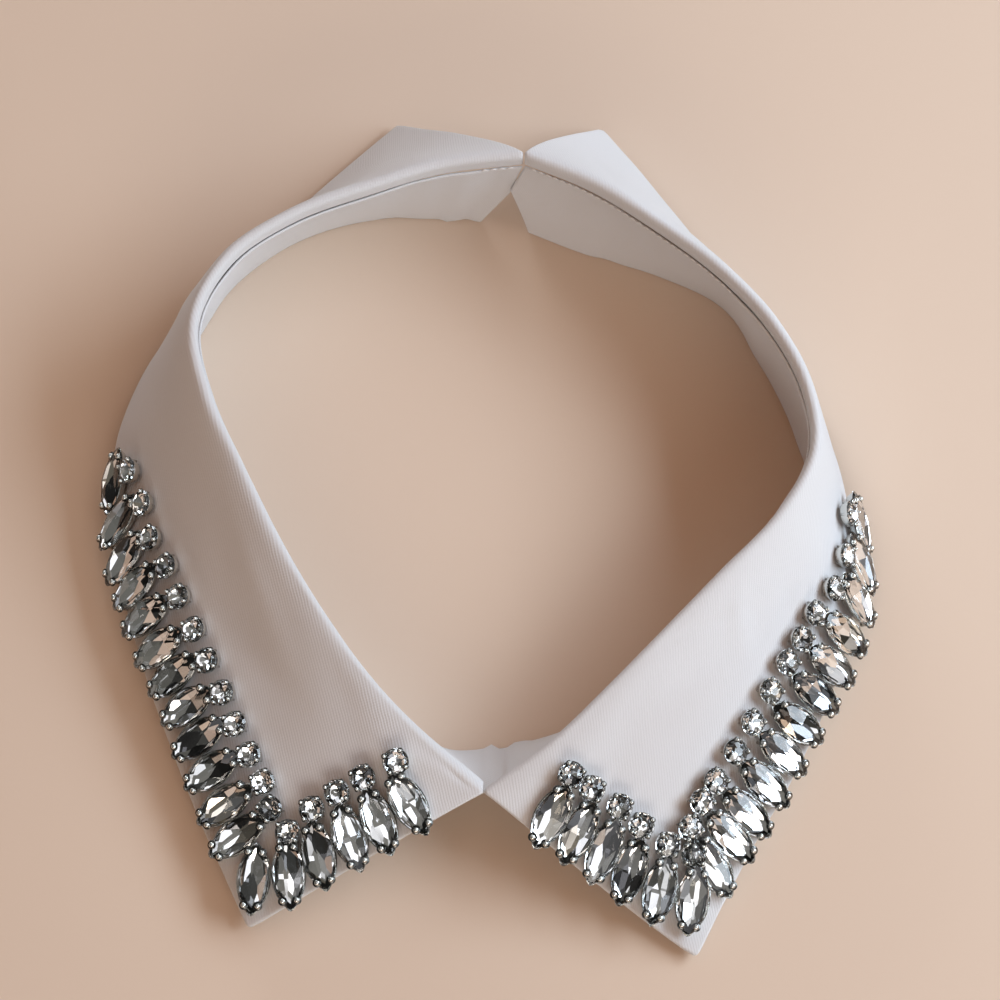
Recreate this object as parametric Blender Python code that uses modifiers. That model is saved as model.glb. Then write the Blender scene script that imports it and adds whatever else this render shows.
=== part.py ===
"""A detachable pointed collar with claw-set stones along its edges, standing in a ring.

The stand runs round the neck from one back end to the other. A fall on each side turns over the
roll line and hangs outside it, with a corner at centre back and a point at centre front. Lengths
in the tables are millimetres, seen from above with the front at -Y. Meshes are in metres.
"""

import math
from collections import namedtuple

import bmesh
import bpy
from mathutils import Matrix, Vector

MM = 0.001

# The cloth: two layers and an interlining, pressed together
FALL_WALL = 1.1
STAND_WALL = 1.2
SEAM_GAP = 0.3

# The roll: how far the cloth turns over to the inside before it meets the stand
ROLL_DEPTH = 3.2
ROLL_RADIUS = 0.7
ROLL_OPENING = {"left": 1.5, "right": 0.5}
FRONT_STATIONS = 1.8
LEDGE = 0.3
CREST_FLAT = 1.5
CREST_SHARE = 0.07
BULGE = 0.05
FRONT_BULGE = {"left": 0.03, "right": -0.10}

# The grid of each piece of cloth
FALL_STATIONS = 37
FALL_STEPS = 9
ROLL_STEPS = 3
CREST_CROWDING = 1.7
STAND_STATIONS = 58
STAND_STEPS = 3
END_BLEND = 0.9
STAND_END_BOW = {"left": 0.6, "right": -2.6}
BOW_ROWS = 0.8
TRIM_SIZE = 300

# The stones stand a little clear of the cloth
STONE_GAP = 0.3
PROBE_REACH = 6.0
CLAW_RADIUS = 0.5
CLAW_TIP = 0.4
CLAW_HEIGHT = 2.7
CLAW_FOOT = 0.2
CLAW_SIDES = 4

# The middle of the collar's own box, taken off so that the origin is under its centre
CENTRE_X = -2.8
CENTRE_Y = -4.4

Section = namedtuple(
    "Section", "ridge_x ridge_y ridge_z edge_x edge_y edge_z foot_x foot_y foot_z"
)

# From centre back to centre front: the roll line, the fall's edge and the stand's foot
LEFT = [
    Section(4.9, 68.4, 30.0, -23, 92, 1.4, -4.5, 68.3, -0.8),
    Section(-12.5, 65.9, 30.2, -34, 81, 1.4, -15, 69.3, -0.8),
    Section(-28.6, 60.3, 30.6, -46, 69, 1.4, -32.0, 68.0, 0.6),
    Section(-44.5, 53.4, 31.0, -57.5, 57.5, 1.2, -48.4, 60.6, 2.0),
    Section(-57.8, 43.0, 31.0, -68, 45, 1.2, -62.2, 47.2, 1.8),
    Section(-64.6, 27.8, 30.6, -77, 30.5, 1.4, -69.6, 28.6, 0.2),
    Section(-61.3, 11.2, 29.6, -82.4, 12.8, 2.6, -66.6, 9.4, -0.8),
    Section(-54.2, -4.4, 28.3, -82.2, -5.2, 3.4, -58.6, -6.5, -0.8),
    Section(-46.6, -19.9, 27.0, -79.6, -22.5, 3.2, -49.6, -21.5, -0.8),
    Section(-38.0, -34.5, 24.9, -74.6, -39.8, 2.8, -38.6, -34.8, -0.8),
    Section(-28.1, -48.4, 22.6, -68, -57.6, 2.4, -26.2, -46.8, -0.8),
    Section(-16.6, -60.8, 19.9, -60, -76.5, 2.2, -12.7, -56.4, -0.8),
    Section(-3.5, -72.2, 17.0, -50.8, -96.2, 2.2, -3.2, -55.8, -0.8),
]
RIGHT = [
    Section(5.4, 68.4, 30.0, 23, 90, 1.4, 6.4, 65.6, -0.8),
    Section(20.3, 61.4, 30.0, 31.6, 79, 1.4, 19.2, 60.0, -0.8),
    Section(34.0, 51.7, 30.0, 41.0, 65.5, 1.4, 35.6, 54.6, -0.8),
    Section(46.6, 41.0, 30.0, 50.6, 51.4, 1.2, 50.2, 46.2, -0.8),
    Section(57.1, 28.3, 30.0, 61.2, 36.4, 1.2, 58.8, 30.0, -0.8),
    Section(64.0, 13.6, 29.9, 68.6, 20.0, 1.4, 64.6, 14.4, -0.8),
    Section(65.2, -1.8, 29.4, 73.0, 3.0, 3.6, 66.4, -2.4, -0.8),
    Section(57.3, -16.3, 28.3, 75, -15, 4.6, 59.0, -17.6, -0.8),
    Section(45.8, -28.3, 26.9, 73.2, -32.4, 4.2, 47.4, -29.8, -0.8),
    Section(34.2, -40.2, 24.9, 67.4, -49.6, 3.4, 34.4, -40.0, -0.8),
    Section(22.6, -51.8, 22.6, 59.4, -65.7, 2.6, 20.8, -49.4, -0.8),
    Section(10.7, -62.9, 19.9, 49.6, -82.5, 2.2, 9.8, -54.0, -0.8),
    Section(-2.9, -72.4, 17.0, 38, -101, 2.2, -3.2, -55.8, -0.8),
]
SIDES = {"left": LEFT, "right": RIGHT}

# The height of each ring of a set stone above its base, and its share of the length and width
Ring = namedtuple("Ring", "height length width")
NAVETTE_RINGS = [Ring(0.0, 0.82, 0.66), Ring(1.7, 1.00, 1.00), Ring(3.9, 0.60, 0.22)]
ROUND_RINGS = [Ring(0.0, 0.74, 0.74), Ring(1.8, 1.00, 1.00), Ring(3.3, 0.52, 0.52)]

# The two kinds of stone: their size over the metal cup, and where their four claws stand
Cut = namedtuple("Cut", "length width point sides rings claws")
CUTS = {
    "navette": Cut(15.0, 5.9, 1.6, 10, NAVETTE_RINGS, [(5.2, 1.6), (-5.2, 1.6), (-5.2, -1.6), (5.2, -1.6)]),
    "round": Cut(5.9, 5.9, 1.0, 8, ROUND_RINGS, []),
}

# Where each navette's middle lies, the way its outer tip points, from +X towards +Y, how far
# the round stone swings off the line of the inner tip, and its reach from the middle over the
# slope. A navette without a round has None.
Stone = namedtuple("Stone", "x y heading swing reach")
STONES = {
    "left": [
        Stone(-80.4, 1.2, -118, -50, 5.3),
        Stone(-79.1, -8.5, -146, -12, 8.0),
        Stone(-77.6, -16.4, -146, -13, 8.1),
        Stone(-74.9, -23.3, -153, -8, 9.2),
        Stone(-72.6, -29.8, -156, -8, 9.3),
        Stone(-69.6, -36.8, -156, -10, 9.3),
        Stone(-66.4, -43.2, -152, -16, 8.7),
        Stone(-63.4, -49.8, -155, -16, 8.7),
        Stone(-60.8, -56.7, -153, -16, 8.7),
        Stone(-58.0, -63.6, -154, -12, 9.0),
        Stone(-55.2, -70.6, -152, -6, 9.4),
        Stone(-52.5, -77.4, -150, 4, 8.8),
        Stone(-49.2, -86.4, -99, None, None),
        Stone(-42.1, -86.2, -89, -1, 8.5),
        Stone(-36.0, -82.8, -80, -2, 9.4),
        Stone(-30.0, -79.8, -74, -2, 9.4),
        Stone(-24.1, -77.0, -71, 0, 9.4),
        Stone(-18.2, -73.8, -62, -12, 8.8),
    ],
    "right": [
        Stone(73.8, -9.2, -42, 30, 6.0),
        Stone(74.0, -18.0, -38, 34, 5.9),
        Stone(73.0, -26.0, -30, 22, 7.5),
        Stone(70.4, -33.6, -24, 5, 9.2),
        Stone(67.4, -40.6, -25, -4, 9.4),
        Stone(63.8, -46.8, -27, -11, 9.3),
        Stone(60.2, -53.2, -28, -12, 9.3),
        Stone(56.8, -59.6, -33, -4, 9.4),
        Stone(53.2, -66.0, -36, -3, 9.4),
        Stone(49.4, -72.1, -38, 0, 9.4),
        Stone(45.9, -78.4, -40, -5, 9.4),
        Stone(42.7, -84.5, -47, -1, 9.2),
        Stone(37.4, -92.2, -87, 8, 9.2),
        Stone(30.7, -89.8, -96, 4, 9.4),
        Stone(25.0, -86.2, -102, 3, 9.4),
        Stone(19.5, -82.6, -108, 0, 9.4),
        Stone(14.1, -79.2, -113, 6, 9.2),
        Stone(8.3, -75.9, -114, -2, 9.2),
    ],
}

# A soft hollow in a fall: where it lies along and across the fall, and its size
Dent = namedtuple("Dent", "station share depth length width")
DENTS = {
    "left": [Dent(9.0, 0.52, 1.0, 1.6, 0.20), Dent(7.2, 0.75, 0.6, 0.8, 0.15)],
    "right": [Dent(8.2, 0.55, 1.1, 0.9, 0.20), Dent(9.8, 0.40, 0.6, 1.2, 0.15)],
}


def main():
    clear_scene()
    collar = make_collection("collar")
    cloth = make_material("white_twill", (0.86, 0.87, 0.88), 0.85, 0.0)
    for side in SIDES:
        make_fall(collar, cloth, side)
    cutters = make_collection("cutters")
    make_stand(collar, cutters, cloth)
    crystal = make_material("set_crystal", (0.82, 0.83, 0.85), 0.08, 0.9)
    navette = set_stone(cutters, crystal, "navette")
    chaton = set_stone(cutters, crystal, "round")
    for side in SIDES:
        for number, stone in enumerate(STONES[side], 1):
            name = f"stones_{side}_{number:02d}"
            make_stones(collar, cutters, name, side, stone, navette, chaton)


def clear_scene():
    for item in list(bpy.data.objects):
        bpy.data.objects.remove(item, do_unlink=True)


def make_collection(name):
    collection = bpy.data.collections.new(name)
    bpy.context.scene.collection.children.link(collection)
    return collection


def collection_of(item, collection):
    for used in list(item.users_collection):
        used.objects.unlink(item)
    collection.objects.link(item)


def make_material(name, colour, roughness, metallic):
    material = bpy.data.materials.new(name)
    material.use_nodes = True
    shader = material.node_tree.nodes["Principled BSDF"]
    shader.inputs["Base Color"].default_value = (*colour, 1.0)
    shader.inputs["Roughness"].default_value = roughness
    shader.inputs["Metallic"].default_value = metallic
    return material


def blend(rows, at):
    """A smooth curve through the rows, read at a row number that may lie between two."""
    last = len(rows) - 1
    start = min(max(int(math.floor(at)), 0), last - 1)
    part = at - start
    before = rows[start - 1] if start > 0 else [2 * a - b for a, b in zip(rows[0], rows[1])]
    after = rows[start + 2] if start + 2 <= last else [2 * a - b for a, b in zip(rows[-1], rows[-2])]
    values = []
    for p, q, r, s in zip(before, rows[start], rows[start + 1], after):
        bend = 2 * p - 5 * q + 4 * r - s
        twist = 3 * q - p - 3 * r + s
        values.append(0.5 * (2 * q + (r - p) * part + bend * part**2 + twist * part**3))
    return values


def section_at(table, at):
    return Section(*blend(table, at))


def lines_of(row):
    """The points of the ridge, the fall's edge and the stand's foot at one section."""
    ridge = Vector((row.ridge_x, row.ridge_y, row.ridge_z))
    edge = Vector((row.edge_x, row.edge_y, row.edge_z))
    foot = Vector((row.foot_x, row.foot_y, row.foot_z))
    return ridge, edge, foot


def inward_at(table, at):
    """The level direction from the ridge to the inside, square to the ridge.

    Close to centre back and centre front it turns to the middle line, where the two sides meet.
    """
    last = len(table) - 1
    ahead = lines_of(section_at(table, min(at + 0.05, last)))[0]
    behind = lines_of(section_at(table, max(at - 0.05, 0)))[0]
    along = (ahead - behind).to_2d().normalized()
    turn = 1 if table is LEFT else -1
    square = Vector((-along.y * turn, along.x * turn, 0))
    to_end = min(at, last - at) / END_BLEND
    share = max(0.0, 1.0 - to_end)
    middle = Vector((0, -1 if at < last / 2 else 1, 0))
    return (square * (1 - share) + middle * share).normalized()


def dent_depth(side, at, share):
    depth = 0.0
    for dent in DENTS[side]:
        off_along = (at - dent.station) / dent.length
        off_across = (share - dent.share) / dent.width
        depth += dent.depth * math.exp(-(off_along**2) - off_across**2)
    return depth


def front_share(side, at):
    """0 along the collar, rising to 1 at centre front."""
    last = len(SIDES[side]) - 1
    return max(0.0, 1.0 - (last - at) / FRONT_STATIONS) ** 2


def roll_radius(side, at):
    """The fold is pressed tight all round and opens a little at centre front."""
    return ROLL_RADIUS + ROLL_OPENING[side] * front_share(side, at)


def roll_point(side, at, share):
    """A point of the turned-over part: share 0 at the crest, 1 at the seam."""
    table = SIDES[side]
    ridge = lines_of(section_at(table, at))[0]
    radius = roll_radius(side, at)
    turn = min(share * 2, 1.0) * math.pi / 2
    fall = radius * (1 - math.cos(turn)) + (ROLL_DEPTH - radius) * max(0.0, share * 2 - 1.0)
    return ridge + inward_at(table, at) * radius * math.sin(turn) - Vector((0, 0, fall))


def fall_point(side, at, share):
    """A point in the middle of the fall's wall: share 0 at the crest, 1 at the outer edge."""
    ridge, edge, foot = lines_of(section_at(SIDES[side], at))
    out = Vector((edge.x - ridge.x, edge.y - ridge.y, 0))
    reach = out.length
    crest = ridge + out.normalized() * (CREST_FLAT + CREST_SHARE * reach)
    bulge = BULGE + (FRONT_BULGE[side] - BULGE) * front_share(side, at)
    hang = edge.lerp(ridge, 0.42) + Vector((0, 0, bulge * reach))
    rest = 1 - share
    point = ridge * rest**3 + crest * 3 * rest**2 * share + hang * 3 * rest * share**2 + edge * share**3
    return point - Vector((0, 0, dent_depth(side, at, share)))


def surface(collection, material, name, grid, wall):
    """An open sheet through a grid of points, given its wall on both sides."""
    mesh = bpy.data.meshes.new(name)
    work = bmesh.new()
    centre = Vector((CENTRE_X, CENTRE_Y, 0))
    rows = [[work.verts.new((point - centre) * MM) for point in line] for line in grid]
    for low, high in zip(rows, rows[1:]):
        for a, b, c, d in zip(low, low[1:], high[1:], high):
            work.faces.new((a, b, c, d))
    bmesh.ops.recalc_face_normals(work, faces=work.faces)
    work.to_mesh(mesh)
    work.free()
    mesh.materials.append(material)
    mesh.shade_smooth()
    item = bpy.data.objects.new(name, mesh)
    collection.objects.link(item)
    solid = item.modifiers.new("wall", "SOLIDIFY")
    solid.thickness = wall * MM
    solid.offset = 0.0
    solid.use_even_offset = True
    return item


def make_fall(collection, material, side):
    last = len(SIDES[side]) - 1
    grid = []
    for station in range(FALL_STATIONS):
        at = last * station / (FALL_STATIONS - 1)
        inside = [roll_point(side, at, step / ROLL_STEPS) for step in range(ROLL_STEPS, 0, -1)]
        shares = [(step / FALL_STEPS) ** CREST_CROWDING for step in range(FALL_STEPS + 1)]
        outside = [fall_point(side, at, share) for share in shares]
        grid.append(inside + outside)
    surface(collection, material, "fall_" + side, grid, FALL_WALL)


def stand_ends(table):
    """The top and foot of the stand at each section of one side."""
    ends = []
    for at in range(len(table)):
        ridge, edge, foot = lines_of(table[at])
        top = ridge + inward_at(table, at) * (ROLL_RADIUS + LEDGE)
        top.z -= ROLL_DEPTH + SEAM_GAP
        lean = (foot - top).normalized().to_2d().length
        top.z -= lean * (STAND_WALL + FALL_WALL) / 2
        ends.append([*top, *foot])
    return ends


def end_bow(at, last):
    """How far the stand's two cut ends are rounded out over the middle line at the back."""
    left = max(0.0, 1.0 - at / BOW_ROWS)
    right = max(0.0, 1.0 - (last - at) / BOW_ROWS)
    return Vector((STAND_END_BOW["left"] * -left + STAND_END_BOW["right"] * right, 0, 0))


def make_stand(collection, cutters, material):
    left = stand_ends(LEFT)
    right = stand_ends(RIGHT)
    front = [(a + b) / 2 for a, b in zip(left[-1], right[-1])]
    rows = left[:-1] + [front] + right[-2::-1]
    grid = []
    for station in range(STAND_STATIONS):
        values = blend(rows, (len(rows) - 1) * station / (STAND_STATIONS - 1))
        bow = end_bow((len(rows) - 1) * station / (STAND_STATIONS - 1), len(rows) - 1)
        top = Vector(values[:3])
        foot = Vector(values[3:])
        line = [top.lerp(foot, step / STAND_STEPS) for step in range(STAND_STEPS + 1)]
        grid.append([point + bow * math.sin(math.pi * step / STAND_STEPS) for step, point in enumerate(line)])
    stand = surface(collection, material, "stand", grid, STAND_WALL)
    bpy.ops.mesh.primitive_cube_add(size=TRIM_SIZE * MM, location=(0, 0, -TRIM_SIZE / 2 * MM))
    below = as_cutter(bpy.context.object)
    below.name = "below_the_table"
    collection_of(below, cutters)
    cut = stand.modifiers.new("flat_foot", "BOOLEAN")
    cut.operation = "DIFFERENCE"
    cut.object = below


def find_on_fall(side, x, y):
    """The station and share of the point of a fall that lies at x, y as seen from above."""
    last = len(SIDES[side]) - 1
    best = min(
        ((at / 4, share / 12) for at in range(4 * last + 1) for share in range(2, 13)),
        key=lambda place: (fall_point(side, *place).xy - Vector((x, y))).length_squared,
    )
    at, share = best
    for _ in range(6):
        here = fall_point(side, at, share)
        along = (fall_point(side, at + 0.01, share) - here) * 100
        across = (fall_point(side, at, share + 0.01) - here) * 100
        size = along.x * across.y - along.y * across.x
        miss = Vector((x, y)) - here.xy
        at += (miss.x * across.y - miss.y * across.x) / size
        share += (along.x * miss.y - along.y * miss.x) / size
        at = min(max(at, 0.0), last)
        share = min(max(share, 0.05), 1.15)
    return at, share


def seat_on_fall(side, x, y, heading):
    """The placing of a stone on a fall: Z stands on the cloth and X points along the heading."""
    at, share = find_on_fall(side, x, y)
    here = fall_point(side, at, share)
    along = fall_point(side, at + 0.02, share) - fall_point(side, at - 0.02, share)
    across = fall_point(side, at, share + 0.02) - fall_point(side, at, share - 0.02)
    up = along.cross(across).normalized()
    if up.z < 0:
        up = -up
    level = Vector((math.cos(heading), math.sin(heading), 0))
    forward = (level - up * level.dot(up)).normalized()
    lift = 0.0
    for reach in (-PROBE_REACH, PROBE_REACH):
        probe = here + forward * reach
        near = fall_point(side, *find_on_fall(side, probe.x, probe.y))
        if (near - probe).xy.length < 1:
            lift = max(lift, (near - here).dot(up))
    seat = here + up * (FALL_WALL / 2 + STONE_GAP + lift)
    turn = Matrix((forward, up.cross(forward), up)).transposed().to_4x4()
    return Matrix.Translation(seat) @ turn


def stone_body(kind):
    """A stone in its cup, standing on its base at the origin with its length along X."""
    cut = CUTS[kind]
    work = bmesh.new()
    loops = []
    for ring in cut.rings:
        loop = []
        for corner in range(cut.sides):
            angle = 2 * math.pi * corner / cut.sides
            across = math.copysign(abs(math.sin(angle)) ** cut.point, math.sin(angle))
            x = cut.length / 2 * ring.length * math.cos(angle)
            y = cut.width / 2 * ring.width * across
            loop.append(work.verts.new((x * MM, y * MM, ring.height * MM)))
        loops.append(loop)
    for low, high in zip(loops, loops[1:]):
        for corner in range(cut.sides):
            after = (corner + 1) % cut.sides
            work.faces.new((low[corner], low[after], high[after], high[corner]))
    work.faces.new(loops[0][::-1])
    work.faces.new(loops[-1])
    return work


def claw(x, y):
    """A claw that stands beside the stone and ends in a blunt tip."""
    work = bmesh.new()
    bmesh.ops.create_cone(
        work,
        cap_ends=True,
        segments=CLAW_SIDES,
        radius1=CLAW_RADIUS * MM,
        radius2=CLAW_TIP * MM,
        depth=CLAW_HEIGHT * MM,
        matrix=Matrix.Translation(Vector((x, y, CLAW_FOOT + CLAW_HEIGHT / 2)) * MM),
    )
    return work


def mesh_object(collection, material, name, work):
    mesh = bpy.data.meshes.new(name)
    work.to_mesh(mesh)
    work.free()
    mesh.materials.append(material)
    item = bpy.data.objects.new(name, mesh)
    collection.objects.link(item)
    return item


def as_cutter(item):
    item.hide_render = True
    item.display_type = "WIRE"
    return item


def add_union(item, tool):
    union = item.modifiers.new("with_" + tool.name, "BOOLEAN")
    union.operation = "UNION"
    union.object = tool


def set_stone(cutters, material, kind):
    """The mesh of one kind of stone with its four claws, which every copy shares."""
    item = as_cutter(mesh_object(cutters, material, kind, stone_body(kind)))
    cut = CUTS[kind]
    for number, (x, y) in enumerate(cut.claws, 1):
        tool = as_cutter(mesh_object(cutters, material, f"{kind}_claw_{number}", claw(x, y)))
        add_union(item, tool)
    seen = item.evaluated_get(bpy.context.evaluated_depsgraph_get())
    mesh = bpy.data.meshes.new_from_object(seen)
    for used in [item] + [union.object for union in item.modifiers]:
        bpy.data.objects.remove(used)
    return mesh


def make_stones(collection, cutters, name, side, stone, navette, chaton):
    """A navette with the round stone at its inner tip, whose cups touch."""
    seat = seat_on_fall(side, stone.x, stone.y, math.radians(stone.heading))
    item = bpy.data.objects.new(name, navette)
    item.matrix_world = in_metres(seat)
    collection.objects.link(item)
    if stone.swing is None:
        return
    tool = as_cutter(bpy.data.objects.new(name + "_round", chaton))
    tool.matrix_world = in_metres(round_seat(side, stone, seat))
    cutters.objects.link(tool)
    add_union(item, tool)


def round_seat(side, stone, seat):
    """The placing of the round stone: the level step is trimmed until the reach is right."""
    inner = math.radians(stone.heading + 180 + stone.swing)
    level = stone.reach
    for _ in range(5):
        x = stone.x + level * math.cos(inner)
        y = stone.y + level * math.sin(inner)
        place = seat_on_fall(side, x, y, inner)
        level *= stone.reach / (place.translation - seat.translation).length
    return place


def in_metres(place):
    """A placing in millimetres as an object's own, with the collar's middle over the origin."""
    moved = place.copy()
    moved.translation = (place.translation - Vector((CENTRE_X, CENTRE_Y, 0))) * MM
    return moved


if __name__ == "__main__":
    main()
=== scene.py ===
"""The looks of a detachable pointed collar with claw-set stones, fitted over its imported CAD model.

Lengths in the tables are millimetres, seen from above with the front at -Y, as in the part's own
tables. Meshes are in metres. Two panels of cloth turn over the stand at the roll line, and the
stones stand on them along their outer edges.
"""

import math
from collections import namedtuple

import bmesh
import bpy
from mathutils import Matrix, Vector, noise


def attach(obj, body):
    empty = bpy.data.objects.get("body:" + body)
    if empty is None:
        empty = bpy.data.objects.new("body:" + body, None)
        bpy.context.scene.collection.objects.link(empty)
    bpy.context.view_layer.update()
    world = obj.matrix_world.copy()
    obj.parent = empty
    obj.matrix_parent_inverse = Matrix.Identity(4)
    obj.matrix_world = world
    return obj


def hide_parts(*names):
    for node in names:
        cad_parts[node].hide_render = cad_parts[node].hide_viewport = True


bl_info = {
    "name": "Stone-set pointed collar",
    "version": (1, 0, 0),
    "blender": (4, 5, 0),
    "location": "View3D > Sidebar > Collar",
    "description": "Dresses the collar with twill, faceted stones in claw cups and sewing",
    "category": "Object",
}

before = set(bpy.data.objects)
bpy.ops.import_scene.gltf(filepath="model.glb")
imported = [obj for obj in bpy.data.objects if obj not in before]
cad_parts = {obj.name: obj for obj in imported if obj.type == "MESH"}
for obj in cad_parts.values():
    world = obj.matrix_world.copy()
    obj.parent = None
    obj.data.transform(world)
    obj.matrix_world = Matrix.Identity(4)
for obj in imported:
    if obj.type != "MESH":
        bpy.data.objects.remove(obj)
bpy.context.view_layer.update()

MM = 0.001

# The roll line: how deep it turns in, how round it is and how it opens towards centre front
ROLL_DEPTH = 3.2
ROLL_RADIUS = 0.7
ROLL_OPENING = {"left": 2.1, "right": 0.5}
FRONT_STATIONS = 1.8
LEDGE = 0.3
# How a fall leaves the crest and hangs to its edge
CREST_FLAT = 1.5
CREST_SHARE = 0.07
HANG_SHARE = 0.42
BULGE = 0.05
FRONT_BULGE = {"left": 0.03, "right": -0.10}
END_BLEND = 0.9
# How the stand's two cut ends bow at the back, and how its top sits inside the roll
STAND_END_BOW = {"left": 1.7, "right": -3.5}
BOW_ROWS = 0.8
BOW_PEAK = {"left": 0.46, "right": 0.36}
BOW_POWER = 1.15
TOP_RAISE = 0.20
TOP_LEAN = 0.90
TOP_SHIFT = 0.40
TOP_FADE = 3.0
STEEPEST = -0.2
# The part's own walls and gaps, and how far from a stone's middle the cloth is felt for
CAD_FALL_WALL = 1.1
CAD_STAND_WALL = 1.2
SEAM_GAP = 0.3
STONE_GAP = 0.3
PROBE_REACH = 6.0
CENTRE = Vector((-2.8, -4.4, 0))

Section = namedtuple(
    "Section", "ridge_x ridge_y ridge_z edge_x edge_y edge_z foot_x foot_y foot_z"
)

# From centre back to centre front: the roll line, the fall's edge and the stand's foot
LEFT = [
    Section(4.9, 68.4, 30.0, -23, 92, 1.4, -4.5, 68.3, -0.8),
    Section(-12.5, 65.9, 30.2, -34, 81, 1.4, -15, 69.3, -0.8),
    Section(-28.6, 60.3, 30.6, -46, 69, 1.4, -32.0, 68.0, 0.6),
    Section(-44.5, 53.4, 31.0, -57.5, 57.5, 1.2, -48.4, 60.6, 2.0),
    Section(-57.8, 43.0, 31.0, -68, 45, 1.2, -62.2, 47.2, 1.8),
    Section(-64.6, 27.8, 30.6, -77, 30.5, 1.4, -69.6, 28.6, 0.2),
    Section(-61.3, 11.2, 29.6, -82.4, 12.8, 2.6, -66.6, 9.4, -0.8),
    Section(-54.2, -4.4, 28.3, -82.2, -5.2, 3.4, -58.6, -6.5, -0.8),
    Section(-46.6, -19.9, 27.0, -79.6, -22.5, 3.2, -49.6, -21.5, -0.8),
    Section(-38.0, -34.5, 24.9, -74.6, -39.8, 2.8, -38.6, -34.8, -0.8),
    Section(-28.1, -48.4, 22.6, -68, -57.6, 2.4, -26.2, -46.8, -0.8),
    Section(-16.6, -60.8, 19.9, -60, -76.5, 2.2, -12.7, -56.4, -0.8),
    Section(-3.5, -72.2, 17.0, -50.8, -96.2, 2.2, -3.2, -55.8, -0.8),
]
RIGHT = [
    Section(5.4, 68.4, 30.0, 23, 91.2, 1.4, 6.4, 65.6, -0.8),
    Section(20.3, 61.4, 30.0, 31.6, 79, 1.4, 19.2, 60.0, -0.8),
    Section(34.0, 51.7, 30.0, 41.0, 65.5, 1.4, 35.6, 54.6, -0.8),
    Section(46.6, 41.0, 30.0, 50.6, 51.4, 1.2, 50.2, 46.2, -0.8),
    Section(57.1, 28.3, 30.0, 61.2, 36.4, 1.2, 58.8, 30.0, -0.8),
    Section(64.0, 13.6, 29.9, 68.6, 20.0, 1.4, 64.6, 14.4, -0.8),
    Section(65.2, -1.8, 29.4, 73.0, 3.0, 3.6, 66.4, -2.4, -0.8),
    Section(57.3, -16.3, 28.3, 75, -15, 4.6, 59.0, -17.6, -0.8),
    Section(45.8, -28.3, 26.9, 73.2, -32.4, 4.2, 47.4, -29.8, -0.8),
    Section(34.2, -40.2, 24.9, 67.4, -49.6, 3.4, 34.4, -40.0, -0.8),
    Section(22.6, -51.8, 22.6, 59.4, -65.7, 2.6, 20.8, -49.4, -0.8),
    Section(10.7, -62.9, 19.9, 49.6, -82.5, 2.2, 9.8, -54.0, -0.8),
    Section(-2.9, -72.4, 17.0, 39.6, -102.2, 2.2, -3.2, -55.8, -0.8),
]
SIDES = {"left": LEFT, "right": RIGHT}
LAST = len(LEFT) - 1

# Where each navette's middle lies, the way its outer tip points, from +X towards +Y, how far
# the round stone swings off the line of the inner tip, and its reach from the middle over the
# slope. A navette without a round has None.
Stone = namedtuple("Stone", "x y heading swing reach")
STONES = {
    "left": [
        Stone(-80.4, 1.2, -118, -50, 5.3),
        Stone(-79.1, -8.5, -146, -12, 8.0),
        Stone(-77.6, -16.4, -146, -13, 8.1),
        Stone(-74.9, -23.3, -153, -8, 9.2),
        Stone(-72.6, -29.8, -156, -8, 9.3),
        Stone(-69.6, -36.8, -156, -10, 9.3),
        Stone(-66.4, -43.2, -152, -16, 8.7),
        Stone(-63.4, -49.8, -155, -16, 8.7),
        Stone(-60.8, -56.7, -153, -16, 8.7),
        Stone(-58.0, -63.6, -154, -12, 9.0),
        Stone(-55.2, -70.6, -152, -6, 9.4),
        Stone(-52.5, -77.4, -150, 4, 8.8),
        Stone(-49.2, -86.4, -99, None, None),
        Stone(-42.1, -86.2, -89, -1, 8.5),
        Stone(-36.0, -82.8, -80, -2, 9.4),
        Stone(-30.0, -79.8, -74, -2, 9.4),
        Stone(-24.1, -77.0, -71, 0, 9.4),
        Stone(-18.2, -73.8, -62, -12, 8.8),
    ],
    "right": [
        Stone(73.8, -9.2, -42, 30, 6.0),
        Stone(74.0, -18.0, -38, 34, 5.9),
        Stone(73.0, -26.0, -30, 22, 7.5),
        Stone(70.4, -33.6, -24, 5, 9.2),
        Stone(67.4, -40.6, -25, -4, 9.4),
        Stone(63.8, -46.8, -27, -11, 9.3),
        Stone(60.2, -53.2, -28, -12, 9.3),
        Stone(56.8, -59.6, -33, -4, 9.4),
        Stone(53.2, -66.0, -36, -3, 9.4),
        Stone(49.4, -72.1, -38, 0, 9.4),
        Stone(45.9, -77.3, -41, -5, 9.4),
        Stone(42.5, -83.5, -55, -1, 9.2),
        Stone(38.5, -90.6, -97, 8, 9.2),
        Stone(32.0, -89.0, -102, 4, 9.4),
        Stone(26.1, -85.4, -105, 3, 9.4),
        Stone(20.7, -81.8, -109, 0, 9.4),
        Stone(15.7, -78.6, -112, 6, 9.2),
        Stone(10.3, -75.8, -113, -2, 9.2),
    ],
}

# A soft hollow in a fall: where it lies along and across the fall, and its size
Dent = namedtuple("Dent", "station share depth length width")
DENTS = {
    "left": [Dent(9.0, 0.52, 1.0, 1.6, 0.20), Dent(7.2, 0.75, 0.6, 0.8, 0.15)],
    "right": [Dent(8.2, 0.55, 1.1, 0.9, 0.20), Dent(9.8, 0.40, 0.6, 1.2, 0.15)],
}

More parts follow.
